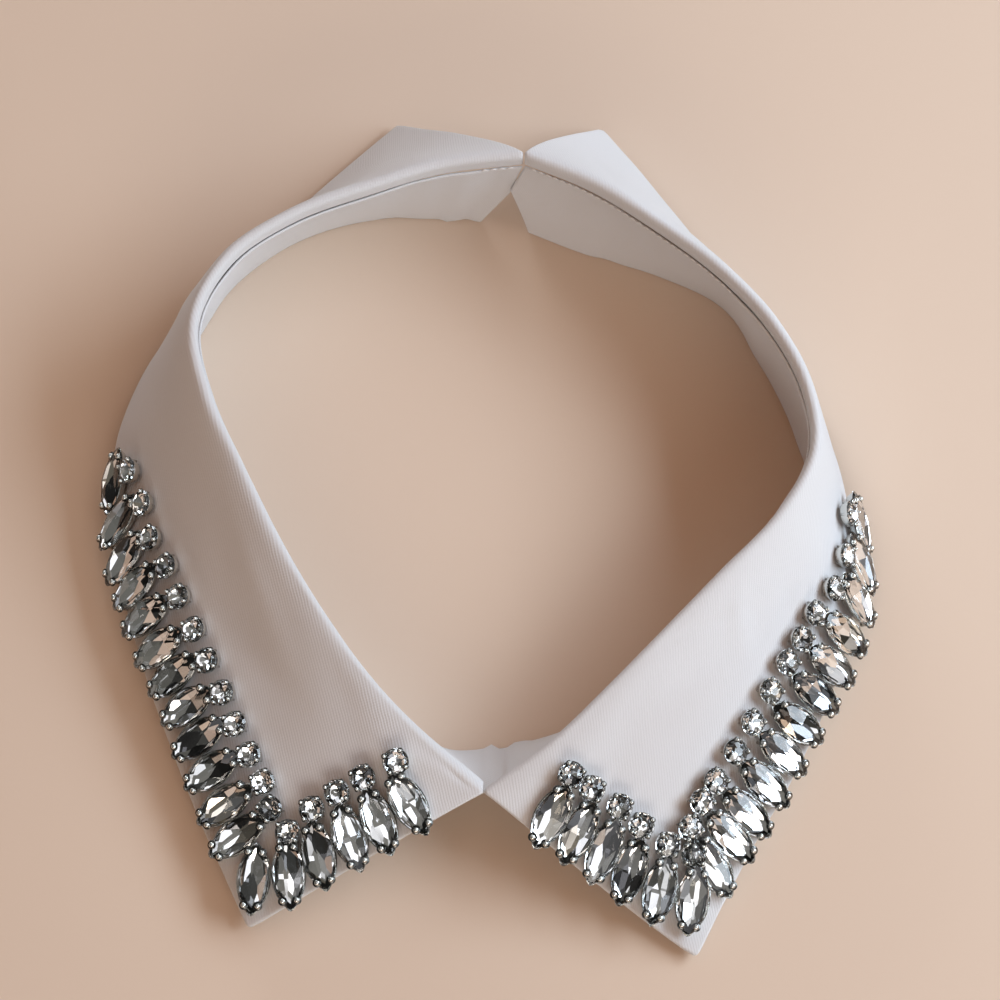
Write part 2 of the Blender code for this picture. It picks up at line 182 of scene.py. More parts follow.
# A soft crease: its middle along and across the panel, how far it slants from one to the other,
# its reach along, its reach across and its height out of the cloth
Crease = namedtuple("Crease", "station share slant length width height")
CREASES = {
    "left": [
        Crease(8.7, 0.40, 0.05, 0.9, 0.06, 0.32),
        Crease(9.3, 0.55, -0.03, 0.7, 0.05, -0.28),
        Crease(8.2, 0.58, 0.04, 0.6, 0.05, 0.22),
        Crease(10.4, 0.35, 0.10, 0.8, 0.09, -0.30),
        Crease(11.2, 0.25, -0.08, 0.5, 0.07, 0.25),
        Crease(6.2, 0.60, 0.06, 0.8, 0.08, -0.22),
        Crease(4.6, 0.50, -0.12, 0.6, 0.10, 0.28),
        Crease(2.6, 0.45, 0.15, 0.6, 0.12, -0.30),
        Crease(1.2, 0.60, -0.10, 0.5, 0.10, 0.25),
        Crease(11.7, 0.10, 0.0, 0.12, 0.03, -0.35),
    ],
    "right": [
        Crease(8.5, 0.45, 0.10, 0.35, 0.05, 0.38),
        Crease(8.75, 0.30, -0.12, 0.40, 0.05, -0.36),
        Crease(8.1, 0.62, 0.08, 0.45, 0.05, -0.28),
        Crease(9.5, 0.55, -0.06, 0.7, 0.07, 0.26),
        Crease(10.6, 0.40, 0.10, 0.8, 0.09, -0.28),
        Crease(11.4, 0.22, -0.05, 0.4, 0.06, 0.22),
        Crease(6.9, 0.55, 0.10, 0.5, 0.10, 0.25),
        Crease(4.4, 0.55, -0.10, 0.7, 0.12, -0.28),
        Crease(2.5, 0.50, 0.12, 0.6, 0.10, 0.26),
        Crease(0.9, 0.45, -0.15, 0.5, 0.09, -0.25),
    ],
    "stand": [
        Crease(0.30, 0.50, 0.5, 0.10, 0.8, -0.55),
        Crease(0.7, 0.45, 0.6, 0.14, 0.9, 0.70),
        Crease(1.5, 0.50, 0.2, 0.22, 0.8, -0.45),
        Crease(4.2, 0.55, 0.3, 0.30, 0.7, 0.45),
        Crease(6.8, 0.50, -0.3, 0.35, 0.7, -0.40),
        Crease(9.4, 0.60, 0.2, 0.30, 0.6, 0.40),
        Crease(14.8, 0.50, 0.3, 0.30, 0.7, -0.40),
        Crease(17.3, 0.45, -0.2, 0.22, 0.8, 0.60),
        Crease(18.6, 0.45, 0.2, 0.20, 0.8, -0.55),
        Crease(20.4, 0.50, -0.4, 0.26, 0.7, 0.45),
        Crease(22.7, 0.50, 0.5, 0.14, 0.8, -0.50),
        Crease(12.10, 0.60, 0.3, 0.09, 0.6, 0.95),
        Crease(12.32, 0.60, -0.3, 0.09, 0.6, -0.85),
        Crease(12.55, 0.55, 0.2, 0.09, 0.6, 0.80),
    ],
}

# The grids of the cloth: the steps along and across each panel
FALL_STATIONS = 150
FALL_STEPS = 30
ROLL_STEPS = 9
STAND_STATIONS = 190
STAND_STEPS = 16
CREST_CROWDING = 1.35
# How far each row of a rounded edge lies from the edge, as a share of half the wall
EDGE_ROWS = [0.0, 0.08, 0.3, 0.65, 1.0]
# The least share of the wall at an edge, and the least step, as a share of a fall, next to it
THINNEST = 0.10
LEAST_STEP = 0.004
# Where a search for a place on a fall starts, how often it is bettered and how far it may go
COARSE_STATIONS = 4
COARSE_SHARES = 12
SEARCHES = 6
SEARCH_SHARES = (0.05, 1.15)
SEAT_TRIES = 5
# A fine ripple in the falls, and the rows over which creases fade to the crest and the edge
RIPPLE_SCALE = 0.07
RIPPLE_PLACE = Vector((0, 0, 5.0))
RIPPLE_HEIGHT = 0.25
FADE_ROWS = (4, 3)
# The shares over which the stand's creases fade to its top and its foot
STAND_FADES = (0.3, 0.12)

# How far each corner of a fall is rounded, at centre back and at centre front
CORNERS = {"left": (1.6, 1.4), "right": (2.8, 1.4)}

# The cut panels, laid flat: their overall width and length
FLAT_STAND = (0.036, 0.412)

# A row of facets: its slope, how far outside the girdle it starts, and where its middles face
Facets = namedtuple("Facets", "tilt start headings")


def spread(step, count, shift=0.0):
    """Evenly spaced headings either side of zero, all turned by a shift."""
    first = -(count - 1) / 2
    return [(first + number) * step + shift for number in range(count)]


NAVETTE_GLASS = (15.2, 7.1)
ROUND_GLASS = 5.4
GIRDLE = 2.0
BELT = 0.14
NAVETTE_CROWN = [
    Facets(46, 0.0, spread(12.0, 8)),
    Facets(30, 0.45, spread(30.0, 4)),
    Facets(15, 1.9, spread(44.0, 2)),
]
NAVETTE_FOIL = [
    Facets(40, 0.0, spread(18.0, 6)),
    Facets(19, 1.0, spread(40.0, 2, 13.0)),
    Facets(10, 3.4, spread(80.0, 2, -15.0)),
]
ROUND_CROWN = [
    Facets(50, 0.0, spread(22.5, 16, 11.25)),
    Facets(36, 0.22, spread(45.0, 8)),
    Facets(24, 0.75, spread(45.0, 8, 22.5)),
]
ROUND_FOIL = [
    Facets(38, 0.0, spread(22.5, 16, 11.25)),
    Facets(22, 0.60, spread(45.0, 8)),
]
ROUND_TABLE = 1.22
NAVETTE_TIP = 7.5
NAVETTE_ENDS = [(16, 3.6, 1.25), (34, 6.3, 0.62)]
FOIL_DEPTH = 1.82
FOIL_NORMAL = -0.2
# The foil's facets: faint tints, and painted dark and grey shade that stands in for dark
# reflections, each from its place up to the next one's
FOIL_TINTS_AND_PAINTED_SHADE = [
    (0.00, (0.96, 0.97, 0.98)),
    (0.24, (0.55, 0.55, 0.54)),
    (0.33, (0.97, 0.97, 0.97)),
    (0.50, (0.11, 0.11, 0.115)),
    (0.59, (0.98, 0.97, 0.95)),
    (0.73, (0.84, 0.77, 0.68)),
    (0.77, (0.95, 0.96, 0.98)),
    (0.92, (0.22, 0.23, 0.24)),
]
GEM_BLOCK = 40.0
# The finishes of the stones and cups, in the order of stone_materials
GLASS, FOIL, SILVER, SILVER_PAINTED_SHADE = range(4)
# How dark the painted shade under the claws' heads is, as a share of the metal's colour
PAINTED_SHADE_SHARE = 0.16

# The way each stone leans onto its neighbour, in degrees about its length and across it
NAVETTE_ROLL = {"left": -8.0, "right": 8.0}
NAVETTE_PITCH = 1.5
NAVETTE_SWAY = 3.0
# The stones over which the lean sets in, and the turns that make roll and pitch uneven
LEAN_STONES = 5
ROLL_TURN = 2.4
PITCH_TURN = 3.7
# How the foil's tint and painted shade step from side to side, stone to stone and facet to facet
SIDE_TINT_AND_SHADE_STEPS = {"left": 0.0, "right": 0.31}
STONE_TINT_AND_SHADE_STEP = 0.618
FACET_TINT_AND_SHADE_STEP = 0.37

# A cup's rings from its foot over the rim and down its inside: height, and share of its length
# and width
Ring = namedtuple("Ring", "height length width")
NAVETTE_CUP = [
    Ring(0.05, 0.84, 0.78),
    Ring(0.30, 0.88, 0.85),
    Ring(1.30, 0.955, 0.98),
    Ring(1.80, 0.975, 1.02),
    Ring(1.90, 0.97, 1.01),
    Ring(1.92, 0.955, 0.985),
    Ring(1.80, 0.945, 0.965),
    Ring(1.30, 0.92, 0.925),
    Ring(0.35, 0.84, 0.78),
]
ROUND_CUP = [
    Ring(0.05, 0.68, 0.68),
    Ring(0.25, 0.74, 0.74),
    Ring(1.20, 0.86, 0.86),
    Ring(1.80, 0.90, 0.90),
    Ring(1.90, 0.895, 0.895),
    Ring(1.92, 0.87, 0.87),
    Ring(1.80, 0.85, 0.85),
    Ring(1.30, 0.82, 0.82),
    Ring(0.30, 0.68, 0.68),
]
CUP_SIDES = 40
NAVETTE_SIZE = (14.6, 6.2)
NAVETTE_POINT = 1.3
ROUND_SIZE = (5.9, 5.9)

# A claw: where it stands on its cup, and the size of its domed head
Claw = namedtuple("Claw", "x y radius")
NAVETTE_CLAWS = [Claw(x, y, 0.64) for x in (5.35, -5.35) for y in (1.45, -1.45)]
ROUND_CLAWS = [Claw(x, y, 0.42) for x in (1.72, -1.72) for y in (1.72, -1.72)]
# A claw's sides from its root up: height, share of its radius, and whether the face above it is
# painted dark, as shade under the claw's head
Bend = namedtuple("Bend", "height share dark")
CLAW_BENDS = [
    Bend(0.35, 0.62, False),
    Bend(1.70, 0.60, False),
    Bend(2.20, 0.80, True),
    Bend(2.40, 1.40, True),
    Bend(2.58, 1.52, True),
    Bend(2.66, 1.36, True),
    Bend(2.62, 0.95, False),
    Bend(2.80, 0.92, False),
]
CLAW_RINGS = 5
CLAW_SIDES = 14
CLAW_TOP = 3.30

# How a stitch sits on the stand's top edge, how much of its step it fills, and its own form
STITCH_OUT = 0.16
STITCH_LIFT = 0.06
STITCH_SHARE = 0.62
THREAD_RISE = 1.1
THREAD_END = 0.55
THREAD_SIDES = 8
THREAD_STEPS = 6

# The stitches inside the roll at the back, on the right, and the thread at the left end
Seam = namedtuple("Seam", "side start end count")
SEAMS = [Seam("right", 0.10, 3.35, 30), Seam("left", 0.12, 0.55, 4)]

# The twill: how its ribs wander, what ribs, picks and fuzz add to its relief, and what the ribs add
# to its colour as painted shade in the grooves, beside the fuzz's random tone
DRIFT_SCALE = 0.35
RIB_DRIFT = 0.30
FUZZ_SCALE = 2.2
RELIEF = {"ribs": 0.7, "picks": 0.22, "fuzz": 0.25}
RIB_SHADE = 0.45
SLANTS = {"left": 0.25, "right": 0.15, "stand": 0.8}

# The camera, the floor and the lights
PHOTO_FOCAL = 117.2
SENSOR = 36.0
AIM = Vector((2.8, 4.4, 0.0)) * MM
CAMERA_REACH = 0.7
CAMERA_ELEVATION = 66.0
FLOOR_REACH = 3.0
Lamp = namedtuple("Lamp", "name place size share colour")
LAMPS = [
    Lamp("key", (0.72, 0.08, 0.52), (0.85, 0.34), 1.0, (0.76, 0.88, 1.0)),
    Lamp("back", (-0.30, 0.95, 0.26), (0.45, 0.20), 0.34, (0.86, 0.94, 1.0)),
    Lamp("front", (0.08, -0.95, 0.42), (0.60, 0.34), 0.38, (1.0, 0.92, 0.84)),
]
# The room that the stones mirror, walls with patches of window, and the glow that cloth gets
WALL_COLOUR = (0.60, 0.58, 0.53)
WINDOW_COLOUR = (4.8, 4.8, 5.0)
WINDOW_EDGES = (0.53, 0.56)
WINDOW_SCALE = 4.2
WINDOW_DRIFT = 0.12
ROOM_RISE = 1.3
ROOM_LEVEL = 0.10
ROOM_LEAST = 0.05
ROOM_GLOW = (1.14, 0.52, 0.20)


# The shape of the collar


def blend(rows, at):
    """A smooth curve through the rows, read at a row number that may lie between two."""
    last = len(rows) - 1
    start = min(max(int(math.floor(at)), 0), last - 1)
    part = at - start
    before = [2 * a - b for a, b in zip(rows[0], rows[1])]
    if start > 0:
        before = rows[start - 1]
    after = [2 * a - b for a, b in zip(rows[-1], rows[-2])]
    if start + 2 <= last:
        after = rows[start + 2]
    values = []
    for p, q, r, s in zip(before, rows[start], rows[start + 1], after):
        bend = 2 * p - 5 * q + 4 * r - s
        twist = 3 * q - p - 3 * r + s
        values.append(0.5 * (2 * q + (r - p) * part + bend * part**2 + twist * part**3))
    return values


def lines_at(table, at):
    """The points of the ridge, the fall's edge and the stand's foot at one section."""
    row = blend(table, at)
    return Vector(row[0:3]), Vector(row[3:6]), Vector(row[6:9])


def inward_at(table, at):
    """The level direction from the ridge to the inside, turned to the middle line at both ends."""
    ahead = lines_at(table, min(at + 0.05, LAST))[0]
    behind = lines_at(table, max(at - 0.05, 0))[0]
    along = (ahead - behind).to_2d().normalized()
    turn = 1 if table is LEFT else -1
    square = Vector((-along.y * turn, along.x * turn, 0))
    share = max(0.0, 1.0 - min(at, LAST - at) / END_BLEND)
    middle = Vector((0, -1 if at < LAST / 2 else 1, 0))
    return (square * (1 - share) + middle * share).normalized()


def dent_depth(side, at, share):
    """How far the soft hollows let the fall sink at one place."""
    depth = 0.0
    for dent in DENTS[side]:
        off_along = (at - dent.station) / dent.length
        off_across = (share - dent.share) / dent.width
        depth += dent.depth * math.exp(-(off_along**2) - off_across**2)
    return depth


def crease_height(panel, at, share):
    """How far the soft creases push the cloth out at one place of a panel."""
    height = 0.0
    for crease in CREASES[panel]:
        off_along = (at - crease.station) / crease.length
        line = crease.share + crease.slant * (at - crease.station) / crease.length
        off_across = (share - line) / crease.width
        if abs(off_along) < 3 and abs(off_across) < 3:
            height += crease.height * math.exp(-(off_along**2) - off_across**2)
    return height


def front_share(side, at):
    """0 along the collar, rising to 1 at centre front."""
    return max(0.0, 1.0 - (LAST - at) / FRONT_STATIONS) ** 2


def roll_point(side, at, share):
    """A point of the turned-over part: share 0 at the crest, 1 at the seam."""
    table = SIDES[side]
    ridge = lines_at(table, at)[0]
    radius = ROLL_RADIUS + ROLL_OPENING[side] * front_share(side, at)
    turn = min(share * 2, 1.0) * math.pi / 2
    fall = radius * (1 - math.cos(turn)) + (ROLL_DEPTH - radius) * max(0.0, share * 2 - 1.0)
    return ridge + inward_at(table, at) * radius * math.sin(turn) - Vector((0, 0, fall))


def fall_point(side, at, share):
    """A point in the middle of the fall's wall: share 0 at the crest, 1 at the outer edge."""
    ridge, edge, _ = lines_at(SIDES[side], at)
    out = Vector((edge.x - ridge.x, edge.y - ridge.y, 0))
    reach = out.length
    crest = ridge + out.normalized() * (CREST_FLAT + CREST_SHARE * reach)
    bulge = BULGE + (FRONT_BULGE[side] - BULGE) * front_share(side, at)
    hang = edge.lerp(ridge, HANG_SHARE) + Vector((0, 0, bulge * reach))
    rest = 1 - share
    point = ridge * rest**3 + crest * 3 * rest**2 * share
    point = point + hang * 3 * rest * share**2 + edge * share**3
    return point - Vector((0, 0, dent_depth(side, at, share)))


COARSE = {}


def coarse_places(side):
    """The fall's points on a wide grid, where each search for a place starts."""
    if side not in COARSE:
        places = [
            (at / COARSE_STATIONS, share / COARSE_SHARES)
            for at in range(COARSE_STATIONS * LAST + 1)
            for share in range(2, COARSE_SHARES + 1)
        ]
        COARSE[side] = [(place, fall_point(side, *place).xy) for place in places]
    return COARSE[side]


def find_on_fall(side, x, y):
    """The station and share of the point of a fall that lies at x, y as seen from above."""
    target = Vector((x, y))
    at, share = min(coarse_places(side), key=lambda found: (found[1] - target).length_squared)[0]
    for _ in range(SEARCHES):
        here = fall_point(side, at, share)
        along = (fall_point(side, at + 0.01, share) - here) * 100
        across = (fall_point(side, at, share + 0.01) - here) * 100
        size = along.x * across.y - along.y * across.x
        miss = target - here.xy
        at += (miss.x * across.y - miss.y * across.x) / size
        share += (along.x * miss.y - along.y * miss.x) / size
        at = min(max(at, 0.0), LAST)
        share = min(max(share, SEARCH_SHARES[0]), SEARCH_SHARES[1])
    return at, share


def seat_on_fall(side, x, y, heading):
    """The placing of a stone on a fall: Z stands on the cloth and X points along the heading."""
    at, share = find_on_fall(side, x, y)
    here = fall_point(side, at, share)
    along = fall_point(side, at + 0.02, share) - fall_point(side, at - 0.02, share)
    across = fall_point(side, at, share + 0.02) - fall_point(side, at, share - 0.02)
    up = along.cross(across).normalized()
    if up.z < 0:
        up = -up
    level = Vector((math.cos(heading), math.sin(heading), 0))
    forward = (level - up * level.dot(up)).normalized()
    lift = 0.0
    for reach in (-PROBE_REACH, PROBE_REACH):
        probe = here + forward * reach
        near = fall_point(side, *find_on_fall(side, probe.x, probe.y))
        if (near - probe).xy.length < 1:
            lift = max(lift, (near - here).dot(up))
    seat = here + up * (CAD_FALL_WALL / 2 + STONE_GAP + lift)
    turn = Matrix((forward, up.cross(forward), up)).transposed().to_4x4()
    return Matrix.Translation(seat) @ turn


def round_seat(side, stone, seat):
    """The placing of the round stone: the level step is trimmed until the reach is right."""
    inner = math.radians(stone.heading + 180 + stone.swing)
    level = stone.reach
    for _ in range(SEAT_TRIES):
        x = stone.x + level * math.cos(inner)
        y = stone.y + level * math.sin(inner)
        place = seat_on_fall(side, x, y, inner)
        level *= stone.reach / (place.translation - seat.translation).length
    return place


def seats_of(side):
    """The placings of a side's navettes and of its round stones."""
    navettes = []
    rounds = []
    for stone in STONES[side]:
        seat = seat_on_fall(side, stone.x, stone.y, math.radians(stone.heading))
        navettes.append(seat)
        if stone.swing is not None:
            rounds.append(round_seat(side, stone, seat))
    return navettes, rounds


def add_to_scene(name, data):
    item = bpy.data.objects.new(name, data)
    bpy.context.scene.collection.objects.link(item)
    return item


# Cloth


def edge_steps(stops, half_wall):
    """The stops of a grid line, with crowded ones where each end is rounded over half the wall."""
    start = [stops[0] + half_wall * row for row in EDGE_ROWS]
    end = [stops[-1] - half_wall * row for row in reversed(EDGE_ROWS)]
    middle = [stop for stop in stops if start[-1] < stop < end[0]]
    return start + middle + end


def rounded(distance, half_wall):
    """The share of the wall at a distance from a rounded edge."""
    if distance >= half_wall:
        return 1.0
    return max(THINNEST, math.sqrt(max(0.0, 1 - (1 - distance / half_wall) ** 2)))


def grid_normals(grid):
    """The direction square to a grid of points at each of them."""
    normals = []
    for i, line in enumerate(grid):
        before = grid[max(i - 1, 0)]
        after = grid[min(i + 1, len(grid) - 1)]
        row = []
        for j in range(len(line)):
            along = after[j] - before[j]
            across = line[min(j + 1, len(line) - 1)] - line[max(j - 1, 0)]
            row.append(along.cross(across).normalized())
        normals.append(row)
    return normals


def distances_along(line):
    """The distance of each point of a line from its two ends."""
    run = [0.0]
    for a, b in zip(line, line[1:]):
        run.append(run[-1] + (b - a).length)
    return [(here, run[-1] - here) for here in run]


def weave_map(grid, normals, crest):
    """The thread coordinates of the cloth: its ribs run along Y, unrolled over its slopes."""
    places = []
    for line, row in zip(grid, normals):
        steps = [None] * len(line)
        steps[crest] = (line[crest].x, line[crest].y)
        for order in (range(crest + 1, len(line)), range(crest - 1, -1, -1)):
            for j in order:
                back = j - 1 if j > crest else j + 1
                move = line[j] - line[back]
                up = row[j] if row[j].z > 0 else -row[j]
                rib = (Vector((0, 1, 0)) - up * up.y).normalized()
                weft = rib.cross(up)
                steps[j] = (steps[back][0] + move.dot(weft), steps[back][1] + move.dot(rib))
        places.append(steps)
    return places


def shell(name, grid, normals, walls, weave, material):
    """A thin closed shell on both sides of a grid of points."""
    count = len(grid[0])
    points = []
    for sign in (1, -1):
        for line, row, wall in zip(grid, normals, walls):
            for point, normal, half in zip(line, row, wall):
                place = point + normal * half * sign
                # The cloth lies on the table and never sinks into it
                place.z = max(place.z, 0.0)
                points.append((place - CENTRE) * MM)
    other = len(grid) * count
    faces = []
    for i in range(len(grid) - 1):
        for j in range(count - 1):
            a = i * count + j
            quad = (a, a + count, a + count + 1, a + 1)
            faces.append(quad)
            faces.append(tuple(other + corner for corner in reversed(quad)))
    rim = [i * count for i in range(len(grid))]
    rim += [(len(grid) - 1) * count + j for j in range(1, count)]
    rim += [i * count + count - 1 for i in range(len(grid) - 2, -1, -1)]
    rim += [j for j in range(count - 2, 0, -1)]
    for a, b in zip(rim, rim[1:] + rim[:1]):
        faces.append((b, a, other + a, other + b))
    mesh = bpy.data.meshes.new(name)
    mesh.from_pydata(points, [], faces)
    flat = [place for line in weave for place in line]
    layer = mesh.uv_layers.new(name="weave")
    for loop in mesh.loops:
        layer.data[loop.index].uv = flat[loop.vertex_index % other]
    mesh.shade_smooth()
    mesh.materials.append(material)
    work = bmesh.new()
    work.from_mesh(mesh)
    bmesh.ops.recalc_face_normals(work, faces=work.faces)
    work.to_mesh(mesh)
    work.free()
    return add_to_scene(name, mesh)


def grid_area(grid):
    """The area of a grid of points in square millimetres."""
    area = 0.0
    for low, high in zip(grid, grid[1:]):
        for a, b, c, d in zip(low, low[1:], high[1:], high):
            area += (c - a).cross(d - b).length / 2
    return area


def corner_rounded(side, at, share, run, reach):
    """The place of a grid point once the two outer corners are rounded; run and reach are in mm."""
    for end, radius in zip((0, LAST), CORNERS[side]):
        off_end = abs(at - end) * run / LAST
        off_edge = (1 - share) * reach
        if off_end < radius and off_edge < radius:
            u = 1 - off_end / radius
            v = 1 - off_edge / radius
            u, v = u * math.sqrt(1 - v * v / 2), v * math.sqrt(1 - u * u / 2)
            at = end + (1 - u) * radius * LAST / run * (1 if end == 0 else -1)
            share = 1 - (1 - v) * radius / reach
    return at, share


def make_fall(side, wall, slackness, material):
    """One fall with the part of it that turns over the roll line to the inside."""
    half = wall / 2
    table = SIDES[side]
    length = sum(
        (lines_at(table, at + 1)[0] - lines_at(table, at)[0]).length for at in range(LAST)
    )
    stops = [length * step / FALL_STATIONS for step in range(FALL_STATIONS + 1)]
    stations = [min(max(stop / length * LAST, 0.0), LAST) for stop in edge_steps(stops, half)]
    grid = []
    for at in stations:
        inside = [roll_point(side, at, step / ROLL_STEPS) for step in range(ROLL_STEPS, 0, -1)]
        shares = [(step / FALL_STEPS) ** CREST_CROWDING for step in range(FALL_STEPS + 1)]
        reach = (fall_point(side, at, 1.0) - fall_point(side, at, 0.9)).length * 10
        close = [1.0 - half * row / reach for row in EDGE_ROWS]
        shares = [share for share in shares if share < close[-1] - LEAST_STEP] + close[::-1]
        seam = roll_point(side, at, 1.0)
        hem = [seam + Vector((0, 0, half * row)) for row in EDGE_ROWS[:-1]]
        outside = [
            fall_point(side, *corner_rounded(side, at, share, length, reach)) for share in shares
        ]
        grid.append(hem + inside[1:] + outside)
    shortest = min(len(line) for line in grid)
    grid = [evened(line, shortest) for line in grid]
    crest = len(EDGE_ROWS) - 1 + ROLL_STEPS - 1
    normals = grid_normals(grid)
    for i, line in enumerate(grid):
        for j in range(crest, len(line)):
            share = (j - crest) / (len(line) - 1 - crest)
            push = crease_height(side, stations[i], share) * slackness
            ripple = noise.noise(line[j] * RIPPLE_SCALE + RIPPLE_PLACE) * RIPPLE_HEIGHT * slackness
            fade = min(1.0, (j - crest) / FADE_ROWS[0])
            fade *= min(1.0, (len(line) - 1 - j) / FADE_ROWS[1])
            up = normals[i][j] if normals[i][j].z > 0 else -normals[i][j]
            line[j] = line[j] + up * (push + ripple) * fade
    walls = []
    ends = distances_along([line[crest] for line in grid])
    for i, line in enumerate(grid):
        across = distances_along(line)
        end = min(rounded(ends[i][0], half), rounded(ends[i][1], half))
        walls.append([half * end * min(rounded(a, half), rounded(b, half)) for a, b in across])
    normals = grid_normals(grid)
    weave = weave_map(grid, normals, crest)
    item = shell("fall_cloth_" + side, grid, normals, walls, weave, material)
    return item, grid_area(grid) * MM**2


def evened(line, count):
    """A line of points cut to a count, with the spare ones taken from its middle."""
    spare = len(line) - count
    middle = len(line) // 2
    return line[:middle] + line[middle + spare:]


def stand_rows():
    """The top and the foot of the stand at each section, from one back end round to the other."""
    sides = []
    for table in (LEFT, RIGHT):
        ends = []
        for at in range(len(table)):
            ridge, _, foot = lines_at(table, at)
            top = ridge + inward_at(table, at) * (ROLL_RADIUS + LEDGE)
            top.z -= ROLL_DEPTH + SEAM_GAP
            lean = (foot - top).normalized().to_2d().length
            top.z -= lean * (CAD_STAND_WALL + CAD_FALL_WALL) / 2
            top.z += TOP_RAISE + TOP_LEAN * lean
            ends.append([*top, *foot, *inward_at(table, at)])
        sides.append(ends)
    left, right = sides
    front = [(a + b) / 2 for a, b in zip(left[-1], right[-1])]
    return left[:-1] + [front] + right[-2::-1]


def end_bow(at, last, share):
    """How far the stand's two cut ends stand out over the middle line at the back."""
    bow = 0.0
    for side, off in (("left", at), ("right", last - at)):
        peak = BOW_PEAK[side]
        tent = share / peak if share < peak else (1 - share) / (1 - peak)
        bow += STAND_END_BOW[side] * max(0.0, 1.0 - off / BOW_ROWS) * tent**BOW_POWER
    return Vector((bow, 0, 0))


def make_stand(wall, top_wall, slackness, material):
    """The band that runs round the neck, thin along its top where its layers are pressed."""
    rows = stand_rows()
    last = len(rows) - 1
    half = wall / 2
    length = FLAT_STAND[1] / MM
    stops = [length * step / STAND_STATIONS for step in range(STAND_STATIONS + 1)]
    grid = []
    stations = [stop / length * last for stop in edge_steps(stops, half)]
    for at in stations:
        values = blend(rows, at)
        top = Vector(values[:3])
        foot = Vector(values[3:6])
        inward = Vector(values[6:]).normalized()
        down = (foot - top).normalized()
        # The foot stands on the table
        foot = top + down * (half * down.to_2d().length - top.z) / min(down.z, STEEPEST)
        depth = (foot - top).length
        line = []
        drops = [depth * step / STAND_STEPS for step in range(STAND_STEPS + 1)]
        for stop in edge_steps(drops, half):
            point = top + down * stop + end_bow(at, last, min(1.0, stop / depth))
            line.append(point + inward * TOP_SHIFT * max(0.0, 1 - stop / TOP_FADE))
        grid.append(line)
    shortest = min(len(line) for line in grid)
    grid = [evened(line, shortest) for line in grid]
    normals = grid_normals(grid)
    for i, line in enumerate(grid):
        for j in range(1, len(line)):
            share = j / (len(line) - 1)
            push = crease_height("stand", stations[i], share) * slackness
            fade = min(1.0, share / STAND_FADES[0]) * min(1.0, (1 - share) / STAND_FADES[1])
            line[j] = line[j] + normals[i][j] * push * fade
    ends = distances_along([line[len(line) // 2] for line in grid])
    walls = []
    weave = []
    for i, line in enumerate(grid):
        across = distances_along(line)
        end = min(rounded(ends[i][0], half), rounded(ends[i][1], half))
        row = []
        for above, below in across:
            pressed = top_wall + (wall - top_wall) * min(1.0, above / TOP_FADE)
            row.append(pressed / 2 * end * min(rounded(above, top_wall / 2), rounded(below, half)))
        walls.append(row)
        weave.append([(ends[i][0], above) for above, _ in across])
    normals = grid_normals(grid)
    item = shell("stand_cloth", grid, normals, walls, weave, material)
    return item, grid_area(grid) * MM**2


# Stones in their cups

Template = namedtuple("Template", "points faces materials smooth")


def navette_support(half_length, half_width):
    """How far the tangent line that faces a heading lies from the middle of a pointed oval."""
    radius = (half_length**2 + half_width**2) / (2 * half_width)
    drop = radius - half_width
    widest = math.asin(half_length / radius)

    def support(heading):
        if abs(heading) <= widest:
            return radius - drop * math.cos(heading)
        return half_length * abs(math.sin(heading))

    return support


def round_support(heading):
    """The same for a round stone, which has one radius in every heading."""
    return ROUND_GLASS / 2


def cut_away(work, direction, distance):
    """Takes away what lies beyond a plane, and closes the stone with the new facet."""
    everything = work.verts[:] + work.edges[:] + work.faces[:]
    result = bmesh.ops.bisect_plane(
        work,
        geom=everything,
        dist=1e-6,
        plane_co=direction * distance,
        plane_no=direction,
        clear_outer=True,
    )
    rim = [part for part in result["geom_cut"] if isinstance(part, bmesh.types.BMEdge)]
    if len(rim) > 2:
        bmesh.ops.contextual_create(work, geom=rim)


def cut_stone(kind):
    """The faceted stone: the crown and belt are glass, and the pavilion is its foiled back."""
    work = bmesh.new()
    bmesh.ops.create_cube(work, size=GEM_BLOCK)
    middle = Vector((0, 0, GIRDLE))
    if kind == "navette":
        support = navette_support(NAVETTE_GLASS[0] / 2, NAVETTE_GLASS[1] / 2)
        quarters = (90, 270)
        belt = spread(9.6, 9)
        crown = NAVETTE_CROWN
        foil = NAVETTE_FOIL
    else:
        support = round_support
        quarters = (90,)
        belt = spread(22.5, 16)
        crown = ROUND_CROWN
        foil = ROUND_FOIL
    for quarter in quarters:
        for off in belt:
            heading = math.radians(quarter + off)
            level = Vector((math.cos(heading), math.sin(heading), 0))
            cut_away(work, level, support(math.radians(off)))
        for rows, sign in ((crown, 1), (foil, -1)):
            for row in rows:
                for off in row.headings:
                    heading = math.radians(quarter + off)
                    level = Vector((math.cos(heading), math.sin(heading), 0))
                    tilt = math.radians(row.tilt)
                    direction = level * math.sin(tilt) + Vector((0, 0, sign * math.cos(tilt)))
                    start = level * (support(math.radians(off)) + row.start)
                    start.z = sign * BELT / 2
                    cut_away(work, direction, start.dot(direction))
    if kind == "round":
        cut_away(work, Vector((0, 0, 1)), ROUND_TABLE)
    else:
        for end in (1, -1):
            cut_away(work, Vector((end, 0, 0)), NAVETTE_TIP)
            for tilt, reach, height in NAVETTE_ENDS:
                tilt = math.radians(tilt)
                direction = Vector((end * math.sin(tilt), 0, math.cos(tilt)))
                cut_away(work, direction, Vector((end * reach, 0, height)).dot(direction))
    cut_away(work, Vector((0, 0, -1)), FOIL_DEPTH)
    bmesh.ops.recalc_face_normals(work, faces=work.faces[:])
    points = [vertex.co + middle for vertex in work.verts]
    work.verts.index_update()
    faces = []
    materials = []
    for face in work.faces:
        face.normal_update()
        faces.append([vertex.index for vertex in face.verts])
        materials.append(FOIL if face.normal.z < FOIL_NORMAL else GLASS)
    work.free()
    return Template(points, faces, materials, [False] * len(faces))


